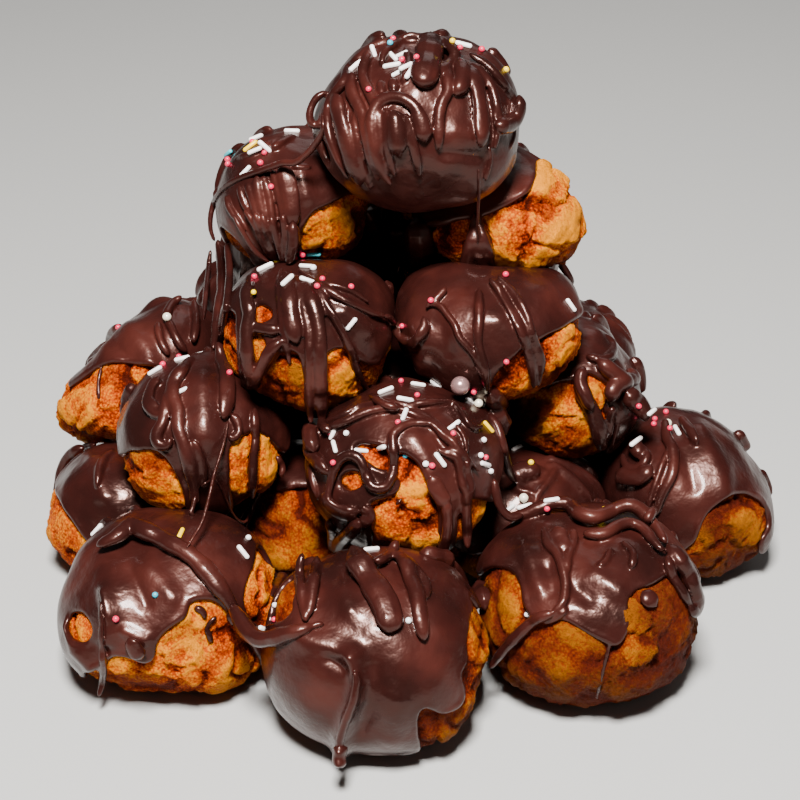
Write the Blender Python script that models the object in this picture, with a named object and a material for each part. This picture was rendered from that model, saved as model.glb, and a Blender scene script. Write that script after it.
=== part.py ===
"""Croquembouche: choux buns heaped in a cone, each under its own cap of dark chocolate with drizzle and sprinkles.

All lengths below are millimetres and all angles degrees; the last step scales the pile to metres.
The pile stands on z = 0 and its front faces -Y.
"""

import math
import random

import bmesh
import bpy
from mathutils import Matrix, Vector, noise
from mathutils.bvhtree import BVHTree

MM = 0.001

# Clearances
GAP = 0.3
HALF_GAP = 0.15
FLOOR_CLEAR = 1.2

# Chocolate coat
COAT_TOP = 1.6
COAT_LIP = 2.4
COAT_SQUEEZED = 1.5
COAT_SEEN = 1.4
LIP_WAVES = ((2, 6.0), (3, 5.0), (5, 6.0))

# Choux body
BODY_POWER = 2.25
FOOT_SHARE = 0.44
SITTING = 30
SAG = 1.1
LUMP = 0.16
CRAG = 0.05

# Mesh fineness: (segments round, rows under the coat, rows of bare choux)
SHOWN = (14, 4, 3)
BEHIND = (12, 3, 3)
CORE = (10, 3, 2)

# Drizzle
STRAND_SIDES = 1
STRAND_STEP = 6.4
STRAND_LIFT = 1.1
THIN = 1.3
MIDDLE = 1.7
THICK = 2.6

# Sprinkles
ROD_LENGTH = 6.0
ROD_RADIUS = 0.8
BALL_RADIUS = 0.95
PEARL_RADIUS = 2.6

SEED = 41

# The buns, tier by tier from the floor up. Each row holds the name, then azimuth and distance of the centre
# from the pile's axis, its height, the glazed bun's width and height, how far it leans outwards, and its coat:
# azimuth and tilt of the dipped side, and the angle the coat reaches down from there.
BUNS = (
    ("r0", -3, 84, 21, 56, 44, 34, 80, 18, 84),
    ("r1", 55, 92, 21, 54, 44, 8, 60, 10, 86),
    ("r2", 89, 88, 21, 58, 44, 6, 100, 12, 88),
    ("r3", 128, 100, 21, 56, 44, 8, 140, 10, 84),
    ("r4", 184, 82, 20, 56, 42, 10, -50, 42, 82),
    ("r5", 222, 87, 22, 62, 44, 8, 160, 22, 98),
    ("r6", 265, 82, 24, 60, 48, 4, 205, 44, 100),
    ("r7", 310, 81, 23, 65, 47, 4, 90, 10, 72),
    ("i0", 205, 31, 20, 54, 41, 0, 90, 38, 70),
    ("i1", 340, 35, 20, 57, 41, 0, 180, 8, 84),
    ("i2", 92, 30, 20, 53, 41, 0, 90, 5, 84),
    ("i3", 30, 61, 19, 48, 39, 0, 30, 5, 82),
    ("i4", 142, 66, 20, 50, 41, 0, 140, 5, 82),
    ("s0", 2, 49, 55, 46, 40, 10, 20, 34, 84),
    ("s1", 54, 61, 46, 47, 42, 10, 60, 12, 88),
    ("s2", 92, 72, 50, 52, 42, 12, 90, 15, 88),
    ("s3", 126, 74, 50, 49, 40, 8, 130, 10, 90),
    ("s4", 163, 84, 44, 60, 39, 46, 30, 26, 78),
    ("s5", 200, 61, 52, 52, 43, 6, 70, 8, 84),
    ("s6", 271, 38, 53, 58, 44, 4, 90, 10, 78),
    ("s7", 107, 17, 45, 62, 44, 0, 90, 5, 80),
    ("t0", 340, 26, 82, 57, 40, 6, 165, 28, 80),
    ("t1", 60, 46, 79, 51, 41, 8, 60, 12, 90),
    ("t2", 128, 50, 80, 50, 42, 8, 150, 15, 92),
    ("t3", 206, 30, 81, 52, 44, 4, 80, 6, 86),
    ("u0", 27, 30, 107, 51, 39, 8, 165, 58, 76),
    ("u1", 88, 50, 105, 52, 41, 10, 90, 10, 92),
    ("u2", 155, 35, 110, 49, 41, 4, 200, 18, 86),
    ("v0", 33, 6, 138, 60, 46, 3, 150, 6, 116),
)
FRONT = ("r0", "r4", "r5", "r6", "r7", "s0", "s4", "s5", "s6", "t0", "t3", "u0", "u2", "v0")
HIDDEN = ("i0", "i1", "i2", "i3", "i4", "s7")

# Where the pile is seen from, so that a drizzle line can be given by pixels of the 800 px square photograph.
EYE = Vector((2.0, -507.0, 345.0))
LOOK_DOWN = 30.0
FOCAL_PX = 1980.0
CENTRE_PX = (411.0, 400.0)

# Where a bun swells beyond its plain shape or falls in, as bun, the pixel where its outline does so, millimetres,
# and the angle that the swelling spreads over.
SWELLS_PX = (
    ("v0", (314, 98), 1.2, 35),
    ("v0", (343, 60), -1.2, 25),
    ("v0", (528, 105), -1.5, 35),
    ("v0", (522, 142), -2.5, 25),
    ("u2", (285, 122), -2.7, 35),
    ("u2", (213, 165), -2.7, 35),
    ("u0", (556, 163), -4.5, 28),
    ("u0", (583, 225), 0.7, 30),
    ("u0", (572, 255), 1.5, 25),
    ("s1", (603, 305), -6.5, 42),
    ("r1", (640, 350), -3.0, 35),
    ("s0", (648, 362), -4.5, 35),
    ("s4", (88, 345), -8.5, 32),
    ("s4", (135, 300), -2.0, 30),
    ("s4", (55, 425), 7.0, 30),
    ("r4", (55, 472), -4.0, 28),
    ("r4", (52, 548), 4.5, 30),
    ("r5", (60, 588), -2.5, 25),
    ("r5", (62, 650), 6.0, 32),
    ("r5", (157, 692), -3.5, 25),
    ("r5", (245, 672), 5.5, 28),
    ("r6", (288, 722), 3.6, 32),
    ("r6", (376, 758), -4.0, 25),
    ("r6", (460, 728), 3.6, 30),
    ("r6", (480, 610), 2.5, 30),
    ("r7", (484, 610), 5.0, 40),
    ("r7", (520, 688), 2.5, 35),
    ("r0", (772, 525), 3.5, 32),
    ("r0", (770, 470), -1.5, 22),
    ("r0", (690, 408), 1.5, 25),
    ("r0", (748, 560), 2.5, 22),
    ("r0", (716, 572), -2.0, 20),
    ("s6", (420, 552), 2.5, 35),
)

# Drizzle on the front, as bun, thickness and the pixels the line passes through.
DRIZZLE_PX = (
    ("v0", THICK, ((434, 50), (429, 66), (420, 92))),
    ("v0", MIDDLE, ((397, 186), (379, 163), (372, 122), (379, 99), (392, 94), (407, 102), (423, 132))),
    ("v0", MIDDLE, ((454, 51), (474, 71), (489, 89), (499, 122))),
    ("v0", MIDDLE, ((474, 51), (502, 74), (514, 105))),
    ("v0", THIN, ((362, 62), (345, 85), (336, 125))),
    ("v0", THIN, ((441, 79), (437, 120), (437, 163))),
    ("u2", MIDDLE, ((250, 160), (240, 185), (250, 225), (268, 252))),
    ("u2", MIDDLE, ((282, 165), (272, 195), (276, 250))),
    ("t3", MIDDLE, ((278, 268), (290, 300), (308, 345), (318, 392))),
    ("t3", THIN, ((300, 275), (320, 305), (345, 340), (362, 378))),
    ("t3", MIDDLE, ((245, 292), (246, 340), (250, 378))),
    ("t0", MIDDLE, ((492, 278), (510, 300), (520, 335), (535, 365), (538, 385))),
    ("t0", MIDDLE, ((478, 285), (480, 330), (490, 385))),
    ("t0", THIN, ((430, 310), (445, 320), (470, 350), (482, 378))),
    ("s0", MIDDLE, ((588, 372), (604, 400), (612, 440))),
    ("s4", MIDDLE, ((196, 310), (172, 312), (166, 340), (178, 362))),
    ("s5", MIDDLE, ((262, 392), (256, 425), (252, 480))),
    ("s5", THICK, ((180, 375), (205, 400), (214, 440), (214, 490))),
    ("s6", MIDDLE, ((330, 425), (350, 465), (385, 450), (425, 415))),
    ("s6", MIDDLE, ((345, 410), (400, 400), (455, 415), (490, 460))),
    ("s6", MIDDLE, ((420, 425), (445, 470), (470, 515))),
    ("r4", THIN, ((120, 445), (100, 465), (98, 500))),
    ("r5", THICK, ((104, 545), (135, 530), (190, 552), (225, 582), (243, 615))),
    ("r6", THICK, ((350, 560), (385, 602), (390, 648))),
    ("r6", MIDDLE, ((402, 562), (425, 602), (430, 645))),
    ("r7", MIDDLE, ((530, 525), (585, 515), (645, 525), (672, 560), (690, 592))),
    ("r0", MIDDLE, ((655, 415), (668, 450), (658, 490))),
)
PEARLS_PX = (("s6", (463, 392)), ("s4", (168, 322)))
RODS_PX = (
    ("v0", (400, 66)),
    ("u2", (245, 172)),
    ("t3", (287, 281)),
    ("t0", (568, 305)),
    ("s5", (182, 392)),
    ("s6", (404, 416)),
    ("s6", (340, 440)),
    ("r5", (181, 535)),
    ("r5", (242, 552)),
    ("r0", (682, 432)),
)

random.seed(SEED)


def polar(azimuth, tilt):
    """Unit vector leaning by tilt from straight up, towards the azimuth."""
    turn = math.radians(azimuth)
    lean = math.radians(tilt)
    return Vector((math.sin(lean) * math.cos(turn), math.sin(lean) * math.sin(turn), math.cos(lean)))


def frame_of(axis):
    """Rotation that takes +Z to the axis."""
    return Vector((0.0, 0.0, 1.0)).rotation_difference(axis).to_matrix()


class Bun:
    """One bun: its place, its body's shape, its coat, and the walls that part it from its neighbours."""

    def __init__(self, row):
        self.name, azimuth, distance, up, width, height, lean, dip_azimuth, dip_tilt, dip_reach = row
        turn = math.radians(azimuth)
        self.azimuth = azimuth
        self.centre = Vector((distance * math.cos(turn), distance * math.sin(turn), up))
        self.half = Vector((width / 2, width / 2, height / 2)) - Vector((COAT_SEEN, COAT_SEEN, COAT_SEEN))
        self.body_frame = frame_of(polar(azimuth, lean))
        self.dip_frame = frame_of(polar(dip_azimuth, dip_tilt))
        self.dip_reach = dip_reach
        self.seed = Vector([random.uniform(-40, 40) for _ in range(3)])
        self.waves = [(n, size, random.uniform(0, 360)) for n, size in LIP_WAVES]
        self.walls = []
        self.swells = []
        self.fineness = SHOWN if self.name in FRONT else CORE if self.name in HIDDEN else BEHIND

    def support(self, normal):
        """How far the plain ellipsoid of the body reaches from its centre along the normal."""
        local = self.body_frame.transposed() @ normal
        return math.sqrt(sum((n * h) ** 2 for n, h in zip(local, self.half)))

    def free_reach(self, direction):
        """Distance from the centre to the lumpy crust, before the neighbours press on it."""
        local = self.body_frame.transposed() @ direction
        sits = local.z < 0 and self.centre.z < SITTING
        across = math.hypot(local.x, local.y) / self.half.x
        along = abs(local.z) / (SAG * self.centre.z if sits else self.half.z)
        reach = (across**BODY_POWER + along**BODY_POWER) ** (-1 / BODY_POWER)
        lump = abs(noise.noise(direction * 1.9 + self.seed)) - 0.22
        crag = noise.noise(direction * 5.0 - self.seed)
        reach *= 1 + LUMP * lump + CRAG * crag
        for towards, size, spread in self.swells:
            reach += size * math.exp(-((math.degrees(towards.angle(direction)) / spread) ** 2))
        if local.z < 0 and not sits:
            reach = min(reach, -FOOT_SHARE * 2 * self.half.z / local.z)
        return reach

    def pressed(self, direction, reach, inset, floor):
        """The reach cut back to the walls of the bun's own cell, and to the floor."""
        for normal, distance in self.walls:
            facing = normal.dot(direction)
            if facing > 0:
                reach = min(reach, (distance - inset) / facing)
        if direction.z < 0:
            reach = min(reach, (self.centre.z - floor) / -direction.z)
        return reach

    def room(self, point):
        """Distance from a point to the nearest wall of the cell."""
        offset = point - self.centre
        return min(distance - normal.dot(offset) for normal, distance in self.walls)

    def lip(self, turn):
        """Angle from the dipped side down to the wavy edge of the coat."""
        wave = sum(size * math.sin(math.radians(n * turn + phase)) for n, size, phase in self.waves)
        return self.dip_reach + wave


def part_neighbours(buns):
    """Between each two buns stands a wall, square to the line that joins them in the buns' own squash."""
    for one in buns:
        for other in buns:
            if one is other:
                continue
            apart = other.centre - one.centre
            squash = (one.half + other.half) / 2
            normal = Vector([a / s**2 for a, s in zip(apart, squash)]).normalized()
            mine = one.support(normal)
            theirs = other.support(normal)
            one.walls.append((normal, normal.dot(apart) * mine / (mine + theirs)))


def crust(bun):
    """The bun's crust as rows of points, from the dipped pole to the far pole."""
    segments, coated, bare = bun.fineness
    rows = []
    for row in range(coated + bare + 1):
        ring = []
        for i in range(segments):
            turn = 360 * (i + 0.5 * (row % 2)) / segments
            lip = bun.lip(turn)
            if row <= coated:
                lean = lip * row / coated
                inset = HALF_GAP + COAT_SQUEEZED + GAP
                floor = FLOOR_CLEAR + COAT_LIP + GAP
            else:
                lean = lip + (180 - lip) * (row - coated) / bare
                inset = HALF_GAP
                floor = 0.0
            direction = bun.dip_frame @ polar(turn, lean)
            reach = bun.pressed(direction, bun.free_reach(direction), inset, floor)
            ring.append(bun.centre + direction * reach)
            if row in (0, coated + bare):
                break
        rows.append(ring)
    return rows


def skin_faces(rows, offset=0):
    """Triangles over rows of points numbered row by row, where a row of one point is a pole."""
    faces = []
    start = offset
    for upper, lower in zip(rows, rows[1:]):
        below = start + len(upper)
        count = max(len(upper), len(lower))
        parity = rows.index(upper) % 2
        for i in range(count):
            j = (i + 1) % count
            if len(upper) == 1:
                faces.append((start, below + i, below + j))
            elif len(lower) == 1:
                faces.append((start + i, below, start + j))
            elif parity:
                faces.append((start + i, below + i, below + j))
                faces.append((start + i, below + j, start + j))
            else:
                faces.append((start + i, below + i, start + j))
                faces.append((start + j, below + i, below + j))
        start = below
    return faces


def mesh_object(name, points, faces):
    mesh = bpy.data.meshes.new(name)
    mesh.from_pydata([tuple(p) for p in points], [], faces)
    obj = bpy.data.objects.new(name, mesh)
    bpy.context.scene.collection.objects.link(obj)
    return obj


def build_choux(bun):
    """The baked bun, closed from pole to pole."""
    rows = crust(bun)
    points = [p for row in rows for p in row]
    return mesh_object(f"choux_{bun.name}", points, skin_faces(rows)), rows


def build_glaze(bun, rows, choux):
    """The chocolate cap: the upper rows of the crust lifted twice, once by the gap and once by the coat."""
    segments, coated, _ = bun.fineness
    bm = bmesh.new()
    bm.from_mesh(choux.data)
    bm.normal_update()
    bm.verts.ensure_lookup_table()
    inner = []
    outer = []
    index = 0
    for row, ring in enumerate(rows[: coated + 1]):
        coat = COAT_TOP + (COAT_LIP - COAT_TOP) * (row / coated) ** 2
        inner_ring = []
        outer_ring = []
        for _point in ring:
            vert = bm.verts[index]
            index += 1
            spread = min(vert.calc_shell_factor(), 1.3)
            inner_ring.append(vert.co + vert.normal * GAP * spread)
            lifted = vert.co + vert.normal * (GAP + coat) * spread - bun.centre
            direction = lifted.normalized()
            reach = bun.pressed(direction, lifted.length, HALF_GAP, FLOOR_CLEAR)
            outer_ring.append(bun.centre + direction * reach)
        inner.append(inner_ring)
        outer.append(outer_ring)
    bm.free()
    outside = skin_faces(outer)
    count = sum(len(ring) for ring in outer)
    inside = [(a + count, c + count, b + count) for a, b, c in skin_faces(inner)]
    edge = count - segments
    rim = []
    for i in range(segments):
        j = (i + 1) % segments
        rim.append((edge + i, edge + count + i, edge + count + j))
        rim.append((edge + i, edge + count + j, edge + j))
    points = [p for ring in outer for p in ring] + [p for ring in inner for p in ring]
    return mesh_object(f"glaze_{bun.name}", points, outside + inside + rim)


def sight(pixel):
    """Direction from the eye through a pixel of the photograph."""
    right = (pixel[0] - CENTRE_PX[0]) / FOCAL_PX
    up = (CENTRE_PX[1] - pixel[1]) / FOCAL_PX
    tip = math.radians(LOOK_DOWN)
    forward = Vector((0.0, math.cos(tip), -math.sin(tip)))
    upward = Vector((0.0, math.sin(tip), math.cos(tip)))
    return (forward + Vector((right, 0.0, 0.0)) + upward * up).normalized()


def outline_side(bun, pixel):
    """Direction from the bun's centre to where the line of sight through a pixel of its outline passes nearest."""
    line = sight(pixel)
    nearest = EYE + line * line.dot(bun.centre - EYE)
    return (nearest - bun.centre).normalized()


def on_crust(tree, bun, origin, direction, lift):
    """Where a line from the origin meets the crust, lifted off it along the outward line from the bun's centre."""
    hit = tree.ray_cast(origin, direction)[0]
    if hit is None:
        return None
    return hit + (hit - bun.centre).normalized() * lift


def seen_path(tree, bun, pixels, lift):
    """The crust points below a line of pixels."""
    path = []
    for start, end in zip(pixels, pixels[1:]):
        steps = max(2, round(math.dist(start, end)))
        for step in range(steps):
            share = step / steps
            pixel = [a + (b - a) * share for a, b in zip(start, end)]
            point = on_crust(tree, bun, EYE, sight(pixel), lift)
            if point:
                path.append(point)
    return path


def draped_path(tree, bun, turn, lean, lift):
    """A line over the bun's crown and down one side, swinging a little from side to side."""
    path = []
    for step in range(25):
        share = step / 24
        swing = 14 * math.sin(2.6 * share * math.pi + turn)
        tilt = -25 + (lean + 25) * share
        direction = polar(turn + swing, tilt)
        origin = bun.centre + direction * 100
        point = on_crust(tree, bun, origin, -direction, lift)
        if point:
            path.append(point)
    return path


def evenly(path, step):
    """The path again with points a step apart, so that the tube stays light."""
    kept = [path[0]]
    for point in path[1:-1]:
        if (point - kept[-1]).length >= step:
            kept.append(point)
    if (path[-1] - kept[-1]).length > step / 2:
        kept.append(path[-1])
    return kept


def strand(bun, path, radius):
    """A round drizzle line along the path, thinning to its ends, kept inside the bun's own cell."""
    runs = [[]]
    for point in path:
        if bun.room(point) > radius * 1.15 + HALF_GAP and point.z > radius * 1.2 + FLOOR_CLEAR:
            runs[-1].append(point)
        elif runs[-1]:
            runs.append([])
    clear = max(runs, key=len)
    if len(clear) < 3:
        return None
    points = evenly(clear, STRAND_STEP)
    if len(points) < 2:
        return None
    curve = bpy.data.curves.new("strand", "CURVE")
    curve.dimensions = "3D"
    curve.bevel_depth = radius
    curve.bevel_resolution = STRAND_SIDES
    curve.use_fill_caps = True
    spline = curve.splines.new("POLY")
    spline.points.add(len(points) - 1)
    for i, point in enumerate(points):
        spline.points[i].co = (*point, 1.0)
        spline.points[i].radius = 0.72 if i in (0, len(points) - 1) else 1.0
    guide = bpy.data.objects.new("strand", curve)
    bpy.context.scene.collection.objects.link(guide)
    bpy.context.view_layer.update()
    mesh = bpy.data.meshes.new_from_object(guide.evaluated_get(bpy.context.evaluated_depsgraph_get()))
    bpy.data.objects.remove(guide)
    bm = bmesh.new()
    bm.from_mesh(mesh)
    bmesh.ops.remove_doubles(bm, verts=bm.verts, dist=0.01)
    bmesh.ops.recalc_face_normals(bm, faces=bm.faces)
    bm.to_mesh(mesh)
    bm.free()
    return bpy.data.objects.new("strand", mesh)


def topping(bun, point, kind):
    """A sprinkle lying on the coat at a point of it: a rod, a ball or a pearl."""
    normal = (point - bun.centre).normalized()
    size = {"rod": ROD_LENGTH / 2, "ball": BALL_RADIUS, "pearl": PEARL_RADIUS}[kind]
    if bun.room(point) < size + 1.0 + HALF_GAP or point.z < size + FLOOR_CLEAR + 1.0:
        return None
    bm = bmesh.new()
    if kind == "rod":
        bmesh.ops.create_cone(
            bm,
            cap_ends=True,
            segments=6,
            radius1=ROD_RADIUS,
            radius2=ROD_RADIUS,
            depth=ROD_LENGTH,
        )
        spin = Matrix.Rotation(math.pi / 2, 3, "X")
        lie = Matrix.Rotation(random.uniform(0, math.pi), 3, "Z")
        turn = frame_of(normal) @ lie @ spin
        rise = ROD_RADIUS * 0.45
    else:
        detail = 2 if kind == "pearl" else 1
        bmesh.ops.create_icosphere(bm, subdivisions=detail, radius=size)
        turn = frame_of(normal)
        rise = size * 0.5
    place = Matrix.Translation(point + normal * rise) @ turn.to_4x4()
    bmesh.ops.transform(bm, matrix=place, verts=bm.verts)
    mesh = bpy.data.meshes.new(kind)
    bm.to_mesh(mesh)
    bm.free()
    return bpy.data.objects.new(kind, mesh)


def largest_piece(mesh):
    """Leaves only the biggest connected piece of a mesh."""
    bm = bmesh.new()
    bm.from_mesh(mesh)
    bmesh.ops.triangulate(bm, faces=bm.faces)
    bmesh.ops.dissolve_degenerate(bm, dist=0.002, edges=bm.edges)
    bmesh.ops.triangulate(bm, faces=bm.faces)
    unseen = set(bm.verts)
    pieces = []
    while unseen:
        stack = [unseen.pop()]
        piece = list(stack)
        while stack:
            vert = stack.pop()
            for edge in vert.link_edges:
                other = edge.other_vert(vert)
                if other in unseen:
                    unseen.remove(other)
                    stack.append(other)
                    piece.append(other)
        pieces.append(piece)
    pieces.sort(key=len)
    for piece in pieces[:-1]:
        bmesh.ops.delete(bm, geom=piece, context="VERTS")
    bm.to_mesh(mesh)
    bm.free()


def fuse(glaze, extras):
    """Joins the drizzle and the sprinkles to the coat that they lie on."""
    if not extras:
        return
    group = bpy.data.collections.new("toppings")
    bpy.context.scene.collection.children.link(group)
    for extra in extras:
        group.objects.link(extra)
    union = glaze.modifiers.new("toppings", "BOOLEAN")
    union.operation = "UNION"
    union.solver = "EXACT"
    union.operand_type = "COLLECTION"
    union.collection = group
    bpy.context.view_layer.update()
    joined = bpy.data.meshes.new_from_object(glaze.evaluated_get(bpy.context.evaluated_depsgraph_get()))
    glaze.modifiers.clear()
    glaze.data = joined
    joined.name = glaze.name
    for extra in extras:
        bpy.data.objects.remove(extra)
    bpy.data.collections.remove(group)
    largest_piece(joined)


def toppings_for(bun, choux, glaze):
    """All drizzle and sprinkles of one bun."""
    depsgraph = bpy.context.evaluated_depsgraph_get()
    crust_tree = BVHTree.FromObject(choux, depsgraph)
    coat_tree = BVHTree.FromObject(glaze, depsgraph)
    extras = []
    for name, radius, pixels in DRIZZLE_PX:
        if name == bun.name:
            path = seen_path(crust_tree, bun, pixels, GAP + radius + STRAND_LIFT)
            extras.append(strand(bun, path, radius))
    if bun.name not in FRONT + HIDDEN:
        turn = bun.azimuth + random.uniform(-35, 35)
        lean = bun.dip_reach - random.uniform(18, 30)
        path = draped_path(crust_tree, bun, turn, lean, GAP + MIDDLE + STRAND_LIFT)
        extras.append(strand(bun, path, MIDDLE))
    spots = [("pearl", pixel) for name, pixel in PEARLS_PX if name == bun.name]
    spots += [("rod", pixel) for name, pixel in RODS_PX if name == bun.name]
    for kind, pixel in spots:
        point = on_crust(coat_tree, bun, EYE, sight(pixel), 0)
        if point:
            extras.append(topping(bun, point, kind))
    if bun.name not in FRONT + HIDDEN:
        for kind in ("rod", "ball"):
            direction = polar(bun.azimuth + random.uniform(-60, 60), random.uniform(15, 55))
            point = on_crust(coat_tree, bun, bun.centre + direction * 100, -direction, 0)
            if point:
                extras.append(topping(bun, point, kind))
    return [extra for extra in extras if extra]


def material(name, colour, roughness):
    """A plain material; the colour is linear red, green and blue."""
    made = bpy.data.materials.new(name)
    made.use_nodes = True
    shader = made.node_tree.nodes["Principled BSDF"]
    shader.inputs["Base Color"].default_value = (*colour, 1.0)
    shader.inputs["Roughness"].default_value = roughness
    made.diffuse_color = (*colour, 1.0)
    return made


for old in list(bpy.data.objects):
    bpy.data.objects.remove(old, do_unlink=True)

pile = [Bun(row) for row in BUNS]
part_neighbours(pile)
for bun in pile:
    bun.swells = [(outline_side(bun, at), size, spread) for name, at, size, spread in SWELLS_PX if name == bun.name]

for bun in pile:
    choux, rows = build_choux(bun)
    glaze = build_glaze(bun, rows, choux)
    bpy.context.view_layer.update()
    fuse(glaze, toppings_for(bun, choux, glaze))
    choux.data.materials.clear()
    glaze.data.materials.clear()
    choux.data.materials.append(material(f"choux_{bun.name}", (0.62, 0.30, 0.07), 0.7))
    glaze.data.materials.append(material(f"chocolate_{bun.name}", (0.055, 0.018, 0.011), 0.25))

# The pile is centred over the origin and scaled to metres.
corners = [obj.data.vertices[i].co for obj in bpy.data.objects for i in range(len(obj.data.vertices))]
middle = [(min(c[k] for c in corners) + max(c[k] for c in corners)) / 2 for k in range(2)]
to_metres = Matrix.Scale(MM, 4) @ Matrix.Translation((-middle[0], -middle[1], 0.0))
for obj in bpy.data.objects:
    obj.data.transform(to_metres)
    obj.data.update()
print("pile centred by", [round(v, 3) for v in middle], "mm")
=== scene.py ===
import math
import random

import bmesh
import bpy
import numpy as np
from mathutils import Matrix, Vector, noise
from mathutils.bvhtree import BVHTree


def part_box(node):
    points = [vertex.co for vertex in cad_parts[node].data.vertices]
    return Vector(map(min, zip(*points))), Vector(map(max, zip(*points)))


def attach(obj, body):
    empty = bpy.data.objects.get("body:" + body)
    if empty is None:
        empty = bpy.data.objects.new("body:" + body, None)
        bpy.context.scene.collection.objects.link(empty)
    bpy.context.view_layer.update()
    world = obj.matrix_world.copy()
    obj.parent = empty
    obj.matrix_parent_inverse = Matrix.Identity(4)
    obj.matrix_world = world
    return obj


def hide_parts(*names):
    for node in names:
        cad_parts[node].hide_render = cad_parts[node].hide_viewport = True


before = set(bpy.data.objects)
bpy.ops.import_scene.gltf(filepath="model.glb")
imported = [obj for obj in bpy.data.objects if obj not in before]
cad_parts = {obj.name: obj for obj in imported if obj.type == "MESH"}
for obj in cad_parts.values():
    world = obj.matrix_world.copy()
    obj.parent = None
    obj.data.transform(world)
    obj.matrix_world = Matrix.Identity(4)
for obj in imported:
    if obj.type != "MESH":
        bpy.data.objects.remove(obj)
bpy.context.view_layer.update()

# ---- The view ------------------------------------------------------------------------------------
# The heap is seen from the front and a little above: the eye is about 0.55 m away and looks down at 30
# degrees, so that one millimetre of the heap covers about 3.6 pixels of the 800 pixel square.
MM = 0.001
EYE = Vector((0.53, -509.8, 345.0)) * MM
AIM = Vector((0.53, -33.8, 70.0)) * MM
FOCAL_PX = 1980.0
SQUARE_PX = 800
AXIS_PX = (411.0, 400.0)
SENSOR_MM = 36.0

camera_data = bpy.data.cameras.new("camera")
camera = bpy.data.objects.new("camera", camera_data)
bpy.context.scene.collection.objects.link(camera)
camera_data.sensor_width = SENSOR_MM
camera_data.lens = SENSOR_MM * FOCAL_PX / SQUARE_PX
camera_data.clip_start = 10 * MM
turn_aside = (AXIS_PX[0] - SQUARE_PX / 2) / FOCAL_PX * (AIM - EYE).length
camera.location = EYE
camera.rotation_euler = (AIM - Vector((turn_aside, 0, 0)) - EYE).to_track_quat("-Z", "Y").to_euler()
bpy.context.scene.camera = camera

forward = (AIM - EYE).normalized()
rightward = Vector((1.0, 0.0, 0.0))
upward = rightward.cross(forward)


def sight(px, py):
    """Direction from the eye through a pixel."""
    across = rightward * ((px - AXIS_PX[0]) / FOCAL_PX)
    up = upward * ((AXIS_PX[1] - py) / FOCAL_PX)
    return (forward + across + up).normalized()


def pixels_of(points):
    """The pixels at which an array of points appears."""
    offset = points - np.array(EYE)
    depth = offset @ np.array(forward)
    across = AXIS_PX[0] + FOCAL_PX * (offset @ np.array(rightward)) / depth
    down = AXIS_PX[1] - FOCAL_PX * (offset @ np.array(upward)) / depth
    return np.stack([across, down], axis=1)


def facing_eye(points, directions):
    """How far the directions at an array of points turn towards the eye: 1 straight at it, 0 across."""
    to_eye = np.array(EYE) - points
    return (to_eye * directions).sum(1) / np.linalg.norm(to_eye, axis=1)


# ---- The baked buns ------------------------------------------------------------------------------
# Choux pastry, piped and baked until it puffs up hollow: a thin crisp crust, golden where it is pale and
# brown where it caught the heat, with painted shade in its creases, on its undersides and on the buns in
# shadow, split into rounded lobes with torn, grainy creases between them.
SHOWN_BUNS = ("r0", "r4", "r5", "r6", "r7", "s0", "s4", "s5", "s6", "t0", "t3", "u0", "u2", "v0")
DEEP_BUNS = ("i2", "i3", "i4", "s7")

# Buns darker than the rest, from 0 to 1: painted shade on buns that lie in shadow, most of all r7, r0 and r6
# on the lower right and i0 and i1 deep in the heap, together with some real browning from the oven.
SHADE_AND_BROWNING = {
    "r7": 0.9, "r0": 0.8, "r6": 0.7, "s0": 0.25, "t3": 0.15, "u2": 0.2, "t0": 0.1, "i0": 0.6, "i1": 0.6,
}

# The relief of the crust: how wide each kind of feature is, then how high it stands or how deep it cuts.
PUFF_MM = 0.8
LOBES_MM = (17.0, 1.2)
SMALL_LOBES_MM = 9.0
CRAGS_MM = (3.6, 0.26)
LEDGES_MM = (8.0, 0.4)
GRIT_MM = (1.7, 0.3)
CRACKS_MM = (13.0, 1.5)
SEAM_MM = 0.2

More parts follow.
